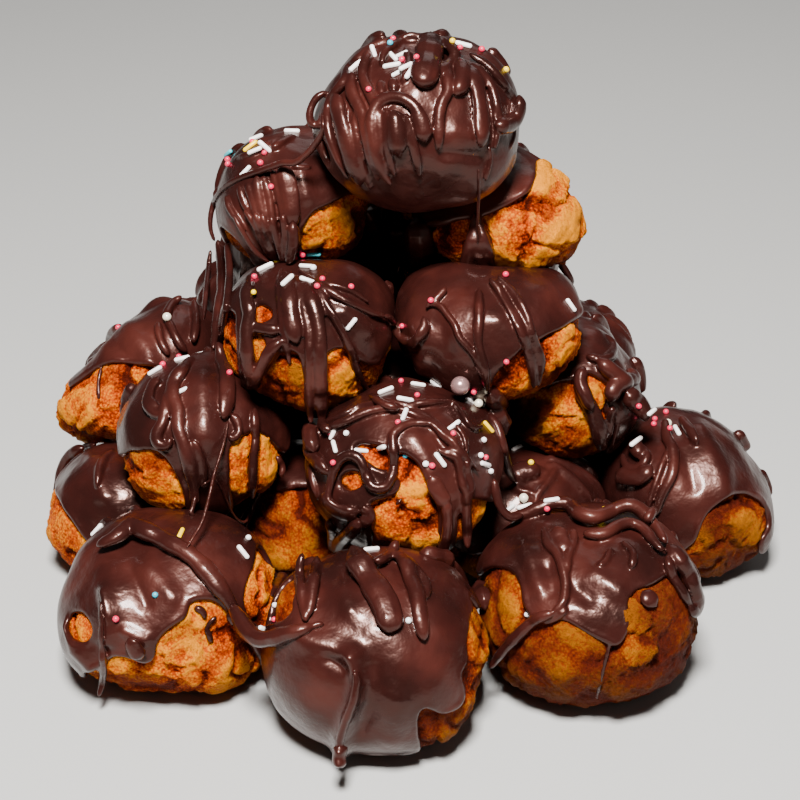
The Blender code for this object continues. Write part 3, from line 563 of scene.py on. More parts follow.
# Drizzle that lies on one bun: half width in millimetres, how round it is from 0 to 1, and its pixels.
DRIZZLE_PX = {"v0": [
    (3.7, 0.7, (430, 31), (428, 50), (424, 72), (420, 86)),
    (1.55, 0.9, (436, 36), (449, 46), (454, 56), (446, 65), (437, 76)),
    (1.38, 0.9, (388, 49), (396, 43), (412, 38), (424, 34)),
    (2.1, 0.8, (458, 58), (462, 70), (461, 84), (454, 95)),
    (1.46, 0.8, (446, 64), (447, 80), (447, 92), (441, 104), (438, 124), (438, 150)),
    (1.55, 0.8, (466, 62), (482, 74), (492, 90), (497, 110), (500, 119)),
    (1.38, 0.8, (468, 53), (485, 64), (500, 80), (514, 101), (519, 112)),
    (2.3, 0.8, (494, 124), (505, 126), (514, 120), (519, 108), (518, 94)),
    (2.5, 0.6, (470, 66), (478, 92), (480, 120), (479, 148)),
    (0.6, 0.9, (488, 146), (490, 160), (484, 182)),
    (1.72, 0.9, (421, 133), (417, 112), (405, 100), (391, 97), (378, 103), (371, 117), (371, 134),
     (375, 156), (382, 174), (391, 186)),
    (2.2, 0.7, (414, 108), (421, 124), (424, 142)),
    (2.4, 0.6, (393, 110), (396, 124), (396, 140), (398, 156)),
    (1.2, 0.8, (404, 113), (410, 137), (415, 156), (419, 178)),
    (1.46, 0.8, (371, 47), (363, 64), (362, 76), (368, 92), (376, 110), (378, 140), (376, 168)),
    (1.72, 0.7, (351, 72), (350, 90), (358, 108), (364, 126), (368, 150), (378, 182)),
    (1.38, 0.9, (388, 39), (371, 47), (360, 58), (347, 69), (344, 80), (331, 96), (326, 111), (328, 134),
     (336, 158), (348, 180)),
    (2.6, 0.6, (334, 94), (338, 114), (344, 138), (350, 162), (360, 186)),
    (1.2, 1.0, (326, 91), (315, 99), (309, 113), (311, 125), (319, 124), (321, 112)),
    (1.12, 0.9, (378, 80), (382, 98)),
    (1.29, 0.9, (391, 78), (394, 92)),
    (1.12, 0.9, (404, 46), (407, 64), (402, 84)),
    (0.86, 0.9, (492, 96), (496, 128), (494, 150)),
    (1.12, 0.9, (386, 108), (386, 130), (388, 156), (394, 178)),
    (0.95, 0.9, (352, 112), (356, 138), (362, 168), (370, 190)),
    (1.12, 0.9, (508, 98), (512, 130), (508, 150)),
    (1.2, 0.9, (420, 35), (406, 36), (396, 42), (384, 52), (380, 66)),
], "u2": [
    (0.86, 0.9, (225, 196), (229, 209), (237, 222), (244, 234)),
    (1.12, 0.8, (238, 185), (243, 203), (251, 218), (258, 232)),
    (1.38, 0.8, (247, 183), (254, 207), (260, 230)),
    (1.38, 0.8, (256, 176), (257, 191), (261, 210), (267, 232)),
    (1.12, 0.8, (262, 176), (268, 196), (271, 216), (275, 234)),
    (1.38, 0.7, (271, 170), (277, 186), (282, 209), (284, 232)),
    (2.6, 0.6, (281, 163), (287, 184), (290, 203), (292, 230)),
    (1.03, 0.8, (226, 170), (240, 158), (262, 148), (274, 138)),
    (1.2, 0.8, (270, 150), (284, 140), (296, 136)),
    (1.03, 0.8, (289, 165), (300, 167), (311, 167)),
], "u0": [
    (2.0, 0.8, (476, 212), (475, 226), (471, 242), (467, 260), (466, 278)),
    (2.6, 0.6, (476, 232), (478, 248), (480, 264), (482, 278)),
    (1.5, 0.9, (477, 218), (481, 234), (487, 250), (492, 268)),
    (1.0, 0.9, (474, 236), (473, 254), (474, 272)),
    (1.2, 0.8, (534, 161), (548, 167), (556, 177)),
    (1.2, 0.8, (578, 200), (583, 216), (582, 232)),
], "t3": [
    (2.1, 0.8, (249, 275), (246, 296), (249, 313), (246, 330), (246, 350), (248, 372), (250, 388)),
    (1.55, 0.8, (283, 340), (271, 350), (261, 368), (252, 388)),
    (1.63, 0.7, (248, 326), (263, 329), (280, 331)),
    (0.95, 0.9, (281, 267), (279, 292), (281, 318), (286, 345), (290, 366)),
    (2.4, 0.6, (287, 270), (289, 300), (293, 330), (297, 344)),
    (1.29, 0.8, (296, 274), (302, 302), (308, 330), (309, 360), (310, 395), (311, 424)),
    (2.1, 0.7, (303, 280), (313, 305), (319, 328), (320, 350), (321, 385), (322, 424)),
    (1.12, 0.9, (296, 268), (314, 283), (328, 308), (341, 329), (351, 350), (355, 366), (362, 381),
     (371, 396)),
    (0.86, 0.9, (300, 270), (310, 283), (320, 305), (333, 320)),
    (1.2, 0.9, (316, 284), (329, 291), (346, 301), (368, 311), (385, 317)),
    (0.77, 0.9, (314, 281), (336, 286), (353, 292), (370, 303)),
    (0.95, 0.9, (281, 264), (268, 267), (250, 275)),
], "t2": [
    (1.2, 0.8, (202, 268), (200, 290), (203, 312)),
], "t0": [
    (1.0, 0.9, (446, 287), (438, 296), (431, 303)),
    (0.9, 0.9, (426, 309), (428, 304), (435, 304), (441, 307), (446, 314), (454, 325), (459, 338),
     (469, 349), (477, 360), (482, 372), (487, 386), (490, 402)),
    (1.46, 0.9, (392, 320), (396, 331), (403, 340), (412, 343), (421, 337), (425, 326), (423, 316)),
    (1.2, 0.9, (479, 288), (479, 311), (478, 332), (479, 346), (484, 367), (488, 392)),
    (1.46, 0.9, (489, 278), (500, 291), (509, 306), (516, 319), (521, 333), (526, 347), (531, 364),
     (534, 388)),
    (1.38, 0.9, (497, 275), (511, 290), (520, 303), (527, 317), (531, 331), (536, 347), (540, 362),
     (538, 386)),
    (1.72, 0.8, (576, 316), (588, 320), (592, 329), (591, 342), (587, 358), (582, 374)),
], "s0": [
    (2.5, 0.8, (576, 384), (585, 397), (593, 412), (599, 430), (602, 450)),
    (1.55, 0.9, (586, 355), (600, 358), (612, 354), (612, 343), (604, 334)),
    (2.3, 0.9, (597, 358), (612, 371), (626, 379), (634, 378), (630, 366)),
    (2.6, 0.9, (610, 402), (614, 388), (624, 381), (632, 386)),
    (1.55, 0.8, (613, 405), (609, 425), (606, 440)),
    (3.2, 0.8, (626, 392), (634, 400), (642, 408), (646, 420)),
    (2.2, 0.9, (636, 346), (642, 364), (648, 382), (644, 394)),
    (1.29, 0.9, (612, 326), (624, 338), (634, 352)),
], "s4": [
    (0.86, 0.9, (101, 368), (98, 384), (99, 402)),
    (1.12, 0.9, (157, 322), (160, 340), (169, 357)),
    (1.2, 0.9, (166, 318), (178, 342), (187, 353)),
    (1.29, 0.9, (182, 296), (170, 306), (164, 322)),
    (1.29, 0.9, (193, 300), (196, 322), (193, 344)),
], "s5": [
    (2.1, 0.8, (193, 357), (182, 370), (173, 384), (173, 398), (177, 411), (178, 429), (184, 448),
     (190, 467), (194, 488), (195, 506)),
    (2.2, 0.5, (160, 376), (151, 387), (148, 402), (158, 412)),
    (1.29, 0.9, (144, 396), (147, 408), (158, 415), (165, 408)),
    (1.63, 0.8, (169, 388), (165, 403), (163, 420), (156, 436), (158, 445), (167, 446), (171, 438)),
    (2.3, 0.8, (217, 342), (222, 356), (226, 373), (227, 390), (226, 404), (223, 420)),
    (1.12, 0.9, (231, 415), (237, 422), (239, 433), (233, 439), (228, 434)),
    (1.46, 0.8, (254, 408), (256, 435), (254, 461), (253, 500)),
    (1.29, 0.9, (282, 452), (289, 468), (295, 482)),
    (1.03, 0.9, (276, 456), (283, 467), (281, 478)),
    (1.38, 0.8, (192, 440), (201, 462), (204, 488)),
    (1.2, 0.8, (117, 440), (123, 458), (121, 470), (126, 490)),
], "s6": [
    (1.3, 0.9, (322, 431), (344, 422), (367, 412), (388, 408), (400, 410)),
    (0.9, 0.9, (322, 424), (341, 416), (359, 406), (382, 401)),
    (0.95, 0.9, (368, 394), (382, 403), (400, 409), (420, 417), (435, 426), (446, 438), (461, 454),
     (480, 472)),
    (0.75, 0.9, (382, 399), (406, 405), (425, 416), (444, 428), (458, 446)),
    (1.35, 0.9, (430, 423), (412, 423), (401, 427), (393, 435), (393, 447), (394, 462), (392, 476),
     (385, 487), (373, 487), (366, 475), (361, 461), (351, 455), (341, 459), (334, 470), (331, 487),
     (334, 503)),
    (2.1, 0.7, (323, 430), (311, 439), (309, 451), (318, 463), (328, 474)),
    (2.3, 0.5, (430, 476), (440, 494), (448, 508)),
    (1.63, 0.8, (446, 500), (448, 520), (447, 536), (440, 560)),
    (1.55, 0.8, (467, 488), (467, 518), (468, 549)),
    (1.0, 0.9, (407, 405), (430, 402), (451, 402), (460, 409), (468, 422), (475, 428), (484, 425)),
    (1.2, 0.9, (437, 448), (455, 458), (462, 480), (467, 496)),
    (0.95, 0.9, (455, 424), (464, 437), (466, 453)),
    (1.12, 0.9, (464, 462), (471, 482), (470, 500)),
    (2.6, 0.5, (326, 492), (334, 506), (348, 512), (360, 508)),
    (1.72, 0.8, (364, 506), (370, 516), (358, 528)),
    (2.1, 1.0, (398, 500), (401, 503)),
    (1.12, 1.0, (426, 487), (428, 489)),
    (1.03, 0.9, (312, 452), (312, 476), (319, 500)),
    (0.77, 1.0, (307, 495), (317, 516), (321, 540)),
], "i1": [
    (1.12, 0.9, (495, 472), (513, 469), (533, 467), (545, 470)),
    (1.03, 0.9, (513, 477), (520, 490), (535, 492)),
    (3.0, 0.7, (512, 480), (524, 470), (540, 472)),
    (1.03, 0.9, (556, 468), (548, 482), (538, 494), (534, 508)),
], "r4": [
    (1.12, 0.9, (120, 446), (104, 461), (97, 490)),
], "r5": [
    (2.6, 0.8, (97, 547), (114, 539), (121, 534), (132, 527), (151, 534), (169, 543), (186, 552),
     (203, 567), (216, 582), (229, 600), (238, 617)),
    (1.12, 0.9, (186, 549), (205, 563), (219, 580), (231, 597)),
    (1.12, 0.9, (103, 600), (103, 624), (101, 652), (104, 668), (103, 685), (99, 698)),
    (2.2, 0.8, (131, 638), (136, 650), (143, 660)),
    (0.86, 0.9, (195, 608), (203, 612), (206, 620)),
    (0.77, 0.9, (218, 617), (210, 624), (205, 635)),
    (0.95, 0.9, (208, 630), (212, 644)),
    (1.2, 0.9, (229, 613), (234, 627)),
], "r6": [
    (3.7, 0.6, (352, 546), (364, 569), (375, 585), (385, 602), (390, 618), (390, 632)),
    (1.29, 0.8, (372, 572), (384, 590), (393, 606), (395, 620)),
    (2.2, 0.8, (396, 551), (407, 564), (411, 577), (416, 589), (419, 601), (421, 617), (425, 640)),
    (1.29, 0.9, (406, 556), (418, 570), (427, 584), (426, 600)),
    (1.38, 0.9, (303, 553), (300, 569), (302, 592), (306, 614), (307, 622)),
    (1.72, 0.8, (318, 556), (314, 580), (311, 602), (308, 617)),
    (1.55, 0.9, (305, 552), (322, 546), (340, 543)),
    (1.38, 1.0, (398, 540), (391, 553), (381, 560), (372, 561)),
    (1.1, 0.8, (358, 668), (359, 682), (355, 700), (348, 718), (343, 736), (341, 750)),
    (1.9, 0.9, (345, 738), (342, 752), (343, 766)),
], "r7": [
    (2.1, 0.9, (508, 517), (526, 513), (540, 507), (553, 503), (568, 503), (579, 512), (593, 516),
     (606, 513), (618, 507), (629, 504), (639, 508), (649, 518), (659, 530), (667, 543)),
    (2.6, 0.8, (667, 543), (680, 558), (689, 573), (695, 588), (698, 602), (695, 610), (690, 606)),
    (1.29, 0.9, (667, 554), (672, 573), (682, 589), (692, 606)),
    (1.55, 0.9, (584, 533), (604, 533), (618, 525), (631, 522), (644, 528), (654, 540), (664, 551)),
    (1.38, 0.8, (543, 526), (548, 542), (558, 554), (564, 573), (566, 588), (563, 602), (553, 613)),
    (1.2, 0.8, (574, 528), (573, 544), (568, 557), (567, 575)),
    (2.6, 0.5, (556, 526), (560, 540), (564, 552)),
    (1.63, 0.8, (555, 612), (536, 619), (520, 633), (506, 648), (490, 668)),
    (0.86, 0.9, (568, 608), (556, 618), (543, 622)),
    (2.7, 0.5, (642, 590), (650, 598), (657, 606)),
    (0.6, 0.9, (611, 640), (604, 669), (597, 699)),
    (1.03, 0.8, (612, 546), (606, 560), (598, 566)),
    (1.2, 0.8, (622, 540), (634, 552), (632, 568)),
], "r0": [
    (1.63, 0.8, (665, 418), (666, 434), (674, 452), (672, 473), (662, 494), (655, 515)),
    (0.86, 0.9, (668, 448), (659, 472), (651, 496), (647, 512)),
    (1.29, 0.8, (680, 415), (690, 431), (697, 445)),
    (2.6, 0.7, (616, 470), (626, 476), (640, 476), (652, 464)),
    (1.55, 0.8, (622, 452), (626, 464), (638, 467), (646, 456), (642, 444)),
    (2.4, 0.8, (630, 440), (637, 449), (636, 458)),
]}

# Folds and dents in the coats in view: height in millimetres, half width in pixels, and its line.
FOLDS_PX = {"r6": [
    (2.8, 9, (354, 658), (359, 680), (356, 698), (349, 716), (343, 734), (342, 756)),
    (1.3, 12, (300, 636), (330, 646), (352, 654)),
    (-1.0, 6, (330, 660), (346, 668)),
    (-0.9, 9, (374, 668), (372, 700), (362, 730)),
    (1.3, 15, (398, 700), (392, 735)),
    (0.9, 9, (340, 570), (350, 610)),
], "v0": [
    (1.2, 11, (455, 132), (478, 136)),
    (-0.9, 6, (446, 154), (476, 156)),
    (1.1, 9, (392, 112), (396, 146)),
], "t0": [
    (1.2, 8, (414, 326), (424, 346), (421, 372)),
    (-0.9, 8, (440, 326), (448, 352)),
    (1.0, 12, (500, 322), (516, 352)),
    (-0.7, 6, (505, 292), (517, 318)),
], "t3": [
    (1.1, 10, (345, 312), (368, 330)),
    (-0.7, 6, (334, 322), (346, 348)),
], "s4": [
    (1.2, 9, (128, 330), (146, 350), (150, 366)),
    (-0.8, 7, (112, 342), (130, 362)),
], "s5": [
    (1.7, 15, (202, 386), (207, 432)),
    (0.8, 9, (240, 384), (246, 412)),
], "s6": [
    (1.4, 12, (414, 440), (432, 468)),
    (1.5, 12, (332, 498), (350, 508)),
    (1.2, 9, (454, 440), (464, 462)),
    (-0.7, 5, (438, 438), (448, 452)),
], "r5": [
    (1.2, 14, (106, 566), (112, 610)),
    (1.0, 10, (150, 570), (172, 596)),
    (-0.8, 7, (132, 576), (146, 606)),
    (1.6, 6, (108, 594), (112, 616), (110, 642)),
    (1.3, 6, (70, 628), (76, 652), (92, 668)),
    (-0.8, 6, (94, 648), (102, 656)),
    (1.2, 7, (126, 632), (146, 640)),
], "r7": [
    (1.4, 10, (528, 548), (540, 584)),
    (-0.9, 7, (548, 568), (552, 590)),
    (1.3, 12, (596, 574), (616, 590)),
    (-0.8, 7, (578, 590), (590, 600)),
], "r0": [
    (1.5, 10, (700, 430), (722, 470), (726, 500)),
    (-0.8, 8, (684, 452), (694, 486)),
], "r4": [
    (1.2, 9, (96, 462), (104, 496)),
], "u0": [
    (1.2, 8, (530, 176), (524, 200)),
], "u2": [
    (1.0, 8, (302, 176), (306, 196)),
]}


def fold_heights(name, pixels):
    """How far the folds of one bun lift its coat at each pixel, in millimetres."""
    lift = np.zeros(len(pixels))
    for height, width, *line in FOLDS_PX.get(name, []):
        ends = np.array(line, float)
        nearest = np.full(len(pixels), np.inf)
        for a, b in zip(ends, ends[1:]):
            t = np.clip(((pixels - a) @ (b - a)) / ((b - a) @ (b - a)), 0, 1)
            nearest = np.minimum(nearest, np.linalg.norm(pixels - a - t[:, None] * (b - a), axis=1))
        lift += height * np.exp(-((nearest / width) ** 2))
    return lift


def soft_line(pixels):
    """Pixels a few apart along a soft curve through the given ones, as vectors."""
    points = [Vector((x, y, 0)) for x, y in pixels]
    ends = [points[0] * 2 - points[1]] + points + [points[-1] * 2 - points[-2]]
    kept = []
    for a, b, c, d in zip(ends, ends[1:], ends[2:], ends[3:]):
        count = max(1, round((c - b).length / STEP_PX))
        for t in (i / count for i in range(count)):
            bend = (a * 2 - b * 5 + c * 4 - d) * t**2
            kept.append((b * 2 + (c - a) * t + bend + (b * 3 - a - c * 3 + d) * t**3) / 2)
    return kept + [points[-1]]


def rope(points, outs, half_widths, roundness, sides=10):
    """Vertices and faces of a rope of chocolate: an oval section swept along points, closed at both ends."""
    count = len(points)
    verts = []
    for i, (point, out, half) in enumerate(zip(points, outs, half_widths)):
        along = (points[min(i + 1, count - 1)] - points[max(i - 1, 0)]).normalized()
        across = along.cross(out).normalized()
        lift = across.cross(along)
        for k in range(sides):
            turn = 2 * math.pi * k / sides
            sideways = across * (half * math.cos(turn))
            verts.append(point + sideways + lift * (half * roundness * math.sin(turn)))
    faces = []
    for i in range(count - 1):
        for k in range(sides):
            a, b = i * sides + k, i * sides + (k + 1) % sides
            faces.append((a, b, b + sides, a + sides))
    for ring, end, other in ((0, points[0], points[1]), (count - 1, points[-1], points[-2])):
        verts.append(end + (end - other).normalized() * half_widths[ring] * 0.5)
        tip = len(verts) - 1
        for k in range(sides):
            a, b = ring * sides + k, ring * sides + (k + 1) % sides
            faces.append((tip, b, a) if ring == 0 else (tip, a, b))
    return verts, faces


def mesh_object(name, shapes):
    """One mesh object from several lists of vertices and faces."""
    verts = []
    faces = []
    for more_verts, more_faces in shapes:
        base = len(verts)
        verts += more_verts
        faces += [tuple(i + base for i in face) for face in more_faces]
    mesh = bpy.data.meshes.new(name)
    mesh.from_pydata(verts, [], faces)
    obj = bpy.data.objects.new(name, mesh)
    bpy.context.scene.collection.objects.link(obj)
    select_only(obj)
    bpy.ops.object.mode_set(mode="EDIT")
    bpy.ops.mesh.select_all(action="SELECT")
    bpy.ops.mesh.normals_make_consistent(inside=False)
    bpy.ops.object.mode_set(mode="OBJECT")
    return obj


def swelling(points, half, blunt):
    """Half widths along a rope: uneven, thinner at the ends, or with a blunt bulb at the far end."""
    count = len(points)
    strides = [0.0] + [(b - a).length for a, b in zip(points, points[1:])]
    found = []
    for i, point in enumerate(points):
        to_end = min(1.0, min(sum(strides[: i + 1]), sum(strides[i + 1 :])) / half)
        start = min(1.0, i / max(1, count * 0.15))
        finish = min(1.0, (count - 1 - i) / max(1, count * 0.2))
        ends = min(0.6 + 0.4 * start, (1.12 - 0.12 * finish) if blunt else (0.55 + 0.45 * finish))
        ends *= max(0.25, math.sqrt(1 - (1 - to_end) ** 2))
        found.append(half * ends * (1 + 0.14 * noise.noise(point / (4 * MM))))
    return found


def trailed(centre, crust_tree, patch_tree, half, roundness, pixels):
    """A rope laid on one bun along a line of pixels, hanging on where it leaves the bun, or none."""
    line = soft_line(pixels)
    depths = []
    for px, py, _ in line:
        ray = sight(px, py)
        hit = crust_tree.ray_cast(EYE, ray)[0]
        if hit is None:
            depths.append(None)
            continue
        out = (hit - centre).normalized()
        coated = patch_tree.ray_cast(hit - out * MM, out, 6 * MM)[0] is not None
        lift = half * roundness + (COAT_MM * MM if coated else 0)
        depths.append((hit - EYE).dot(ray) - lift / max(0.4, -out.dot(ray)))
    known = [i for i, depth in enumerate(depths) if depth is not None]
    if len(known) < 2:
        return None
    depths = [depths[min(known, key=lambda k: abs(k - i))] for i in range(len(depths))]
    depths = [sum(near) / len(near) for near in (depths[max(0, i - 2) : i + 3] for i in range(len(depths)))]
    points = [EYE + sight(px, py) * depth for (px, py, _), depth in zip(line, depths)]
    for point in points:
        point.z = max(point.z, half + FLOOR_GAP_MM * MM)
    outs = [(point - centre).normalized() for point in points]
    return rope(points, outs, swelling(points, half, half > BLUNT_MM * MM), roundness)


def draped(name, crust_tree, rng, half):
    """A rope that runs from the top of a bun down its far side, or none."""
    centre = centres[name]
    azimuth = rng.uniform(-0.25, 1.25) * math.pi
    swing = rng.uniform(-0.5, 0.5)
    start = rng.uniform(0.25, 0.8)
    reach = rng.uniform(1.2, 1.85)
    points = []
    outs = []
    count = 22
    for i in range(count):
        polar = start + (reach - start) * i / (count - 1)
        turn = azimuth + swing * math.sin(polar * 1.5)
        out = Vector((math.sin(polar) * math.cos(turn), math.sin(polar) * math.sin(turn), math.cos(polar)))
        hit = crust_tree.ray_cast(centre, out)[0]
        if hit is None:
            return None
        at = hit + out * (COAT_MM * MM + half * 0.55)
        if name in SHOWN_BUNS and (EYE - at).normalized().dot(out) > -0.15:
            continue
        points.append(at)
        outs.append(out)
    if len(points) < 6:
        return None
    return rope(points, outs, swelling(points, half, half > FAR_BLUNT_MM * MM), 0.85)


def drop_scraps(bm):
    """Removes the patches that are too small to be a coat, and loose vertices."""
    unseen = set(bm.faces)
    scraps = []
    while unseen:
        island = [unseen.pop()]
        for face in island:
            for other in (f for edge in face.edges for f in edge.link_faces):
                if other in unseen:
                    unseen.remove(other)
                    island.append(other)
        if len(island) < SCRAP_FACES:
            scraps += island
    bmesh.ops.delete(bm, geom=scraps, context="FACES")
    bmesh.ops.delete(bm, geom=[v for v in bm.verts if not v.link_faces], context="VERTS")


def soften_edge(bm):
    """Rounds the stepped edge of the patches, in turns inward and outward so that they don't shrink."""
    edge_verts = [v for v in bm.verts if v.is_boundary]
    for share in (0.6, -0.53) * 18:
        moved = []
        for vert in edge_verts:
            beside = [e.other_vert(vert).co for e in vert.link_edges if e.is_boundary]
            moved.append(vert.co.lerp(sum(beside, Vector()) / len(beside), share))
        for vert, co in zip(edge_verts, moved):
            vert.co = co


def lip_lines(bm):
    """The soft lines just inside the edge of the patches, each with the half thickness of its lip."""
    lips = []
    pending = dict.fromkeys(e for e in bm.edges if e.is_boundary)
    while pending:
        loop = list(pending.popitem()[0].verts)
        while more := [e for e in loop[-1].link_edges if e in pending]:
            del pending[more[0]]
            loop.append(more[0].other_vert(loop[-1]))
        if len(loop) <= 8:
            continue
        girth = sum((a.co - b.co).length for a, b in zip(loop, loop[1:]))
        size = min(1.0, girth / (70 * MM)) ** 0.5
        line = []
        for vert in loop:
            inner = [e.other_vert(vert).co for e in vert.link_edges if not e.is_boundary]
            inward = (sum(inner, Vector()) / len(inner) - vert.co).normalized() if inner else Vector()
            line.append(vert.co + inward * LIP_MM * size * 0.8 * MM)
        for _ in range(6):
            rounded = [(a + b * 2 + c) / 4 for a, b, c in zip(line, line[1:], line[2:])]
            line = [line[0]] + rounded + [line[-1]]
        lips.append((line, LIP_MM * size * MM))
    return lips


def cap_patch(name):
    """The coated part of a bun's smooth shape, and the lines of the lips round it."""
    mesh = smooth_shapes[name].copy()
    coated = coats[name]
    bm = bmesh.new()
    bm.from_mesh(mesh)
    bare = [f for f in bm.faces if sum(coated[v.index] for v in f.verts) * 2 < len(f.verts)]
    bmesh.ops.delete(bm, geom=bare, context="FACES")
    drop_scraps(bm)
    soften_edge(bm)
    lips = lip_lines(bm)
    bm.to_mesh(mesh)
    bm.free()
    cap = bpy.data.objects.new("chocolate_cap_" + name, mesh)
    bpy.context.scene.collection.objects.link(cap)
    return cap, lips


# Dark chocolate set on pastry: a smooth fat-rich skin, glossy with duller clouds where it cooled slowly.
chocolate, tree, surface, place = new_material(
    "set_dark_chocolate",
    {
        "IOR": 1.47,
        "Specular IOR Level": 0.42,
        "Specular Tint": linear("#F0BCAC"),
        "Coat Weight": 0.12,
        "Coat Roughness": 0.08,
    },
)
cloud, ripple, dust = (
    add_node(
        tree,
        "ShaderNodeTexNoise",
        {"Vector": place, "Scale": 1 / (size_mm * MM), "Detail": detail, "Roughness": roughness},
    ).outputs["Fac"]
    for size_mm, detail, roughness in ((22.0, 3.0, 0.55), (5.0, 3.0, 0.5), (0.8, 2.0, 0.5))
)
brown = add_node(
    tree,
    "ShaderNodeValToRGB",
    {"Fac": cloud},
    stops=[(0.35, "#1C0A08"), (0.52, "#280E0B"), (0.68, "#381611")],
)
tree.links.new(brown.outputs["Color"], surface.inputs["Base Color"])
dull = add_node(
    tree,
    "ShaderNodeMapRange",
    {"Value": cloud, "From Min": 0.35, "From Max": 0.7, "To Min": 0.24, "To Max": 0.4},
)
tree.links.new(dull.outputs[0], surface.inputs["Roughness"])
specks = add_node(tree, "ShaderNodeBump", {"Height": dust, "Strength": 0.06, "Distance": 0.3 * MM})
waves = add_node(
    tree,
    "ShaderNodeBump",
    {"Height": ripple, "Strength": 0.35, "Distance": 1.3 * MM, "Normal": specks.outputs[0]},
)
tree.links.new(waves.outputs[0], surface.inputs["Normal"])

caps = {}
rng = random.Random(17)
for name, centre in centres.items():
    cap, lips = cap_patch(name)
    smooth = bpy.data.objects.new("smooth", smooth_shapes[name])
    bpy.context.scene.collection.objects.link(smooth)
    depsgraph = bpy.context.evaluated_depsgraph_get()
    crust_tree = BVHTree.FromObject(smooth, depsgraph)
    patch_tree = BVHTree.FromObject(cap, depsgraph)
    bpy.data.objects.remove(smooth)
    shape_with(cap, "SOLIDIFY", thickness=(COAT_MM + SUNK_MM) * MM, offset=0.6)
    shapes = []
    for line, thick in lips:
        line = [p + (p - centre).normalized() * COAT_MM / 2 * MM for p in line]
        outs = [(p - centre).normalized() for p in line]
        halves = [thick * (1 + 0.35 * noise.noise(p / (6 * MM))) for p in line]
        shapes.append(rope(line, outs, halves, 1.0, 8))
    for half, roundness, *pixels in DRIZZLE_PX.get(name, []):
        shapes.append(trailed(centre, crust_tree, patch_tree, half * MM, roundness, pixels))
    if name not in DEEP_BUNS:
        for _ in range(7 if name in SHOWN_BUNS else 14):
            shapes.append(draped(name, crust_tree, rng, rng.choice(FAR_ROPES_MM) * MM))
    shapes = [shape for shape in shapes if shape]
    if shapes:
        select_only(cap, mesh_object("ropes", shapes))
        bpy.ops.object.join()

    # Coat, lips and ropes melt into one skin, which is then swelled, folded and thinned.
    voxel_mm = FINE_MM if name in SHOWN_BUNS else COARSE_MM
    shape_with(cap, "REMESH", mode="VOXEL", voxel_size=voxel_mm * MM, use_smooth_shade=True)
    shape_with(cap, "SMOOTH", factor=0.5, iterations=2)
    points = points_of(cap.data)
    flow = noise_at(points, 11) + 0.3 * noise_at(points, 4.5)
    points = points + normals_of(cap.data) * ((0.04 + FLOW_MM * flow) * MM)[:, None]
    outs = points - np.array(centre)
    outs /= np.linalg.norm(outs, axis=1)[:, None]
    in_view = np.clip(((np.array(EYE) - points) * outs).sum(1) * 8, 0, 1)
    points = points + outs * (fold_heights(name, pixels_of(points)) * in_view * MM)[:, None]
    points[:, 2] = np.maximum(points[:, 2], FLOOR_GAP_MM * MM)
    put_points(cap.data, points)
    shape_with(cap, "DECIMATE", ratio=0.33)
    cap.data.materials.clear()
    cap.data.materials.append(chocolate)
    cap.data.shade_smooth()
    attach(cap, "root")
    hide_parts("glaze_" + name)
    caps[name] = cap

# ---- The threads between buns --------------------------------------------------------------------
# Chocolate that fell across the gaps from one bun to the next and set there, pulled tight: each thread
# touches the buns that it passes over and runs straight between them.
THREAD_VOXEL_MM = 0.32

# Threads in view: half width in millimetres and pixels.
THREADS_PX = [
    (1.0, (321, 112), (322, 130), (314, 145), (302, 158), (294, 163), (283, 163), (271, 167), (257, 172),
     (238, 179), (223, 189), (214, 202), (210, 216), (210, 230), (214, 242)),
    (0.5, (478, 168), (478, 193), (477, 222), (477, 244)),
    (1.0, (243, 210), (251, 220), (259, 236), (266, 250), (274, 261)),
    (1.2, (254, 212), (260, 228), (267, 246), (277, 261)),
    (1.2, (261, 214), (267, 232), (273, 248), (279, 261)),
    (1.1, (270, 216), (275, 235), (280, 252), (281, 263)),
    (1.2, (282, 214), (284, 232), (285, 250), (284, 263)),
    (1.7, (292, 222), (293, 240), (291, 254), (287, 265)),
    (0.8, (232, 214), (242, 232), (255, 252), (270, 264)),
    (1.6, (217, 240), (221, 262), (221, 290), (217, 316), (213, 350)),
    (1.2, (226, 244), (229, 270), (227, 300), (222, 340)),
    (0.9, (210, 250), (206, 286), (203, 320)),
    (1.2, (370, 395), (384, 404), (400, 409)),
    (2.2, (360, 522), (351, 532), (341, 542), (336, 552)),
    (1.6, (330, 520), (333, 534), (332, 550)),
    (2.8, (478, 580), (484, 596), (486, 610)),
    (0.9, (384, 316), (390, 318), (396, 326)),
    (2.3, (232, 606), (240, 619), (247, 630), (258, 639), (271, 639), (286, 635), (303, 630), (314, 626)),
    (0.9, (310, 628), (318, 625), (325, 624)),
    (0.55, (228, 421), (226, 435), (222, 450), (218, 463), (214, 476), (210, 495), (203, 521), (193, 539),
     (186, 550)),
    (0.5, (215, 479), (222, 489), (228, 504), (234, 516), (241, 522), (247, 521), (250, 506)),
    (0.5, (212, 480), (204, 485), (200, 490)),
    (0.7, (196, 496), (193, 508), (191, 514), (196, 516)),
    (1.3, (494, 478), (497, 496), (503, 510), (512, 517), (524, 514)),
    (1.4, (489, 415), (497, 426), (504, 449), (509, 469), (516, 482)),
    (2.0, (584, 366), (580, 380), (586, 396), (592, 410)),
    (1.5, (655, 508), (650, 514), (646, 522)),
    (2.4, (309, 424), (311, 440), (314, 452)),
    (1.5, (321, 420), (325, 428), (332, 432)),
    # These five wide threads fill gaps between buns that lie in deep shade, so that the floor doesn't show
    # through: dark chocolate set where there is only shade.
    (4.5, (366, 212), (382, 238), (392, 262)),
    (4.5, (396, 218), (404, 240), (408, 266)),
    (4.5, (416, 218), (420, 242), (420, 268)),
    (3.0, (490, 394), (498, 402), (503, 412)),
    (3.6, (486, 404), (497, 418), (506, 434)),
    (2.6, (420, 552), (436, 557), (454, 560)),
    (2.2, (284, 576), (278, 586), (272, 596)),
]

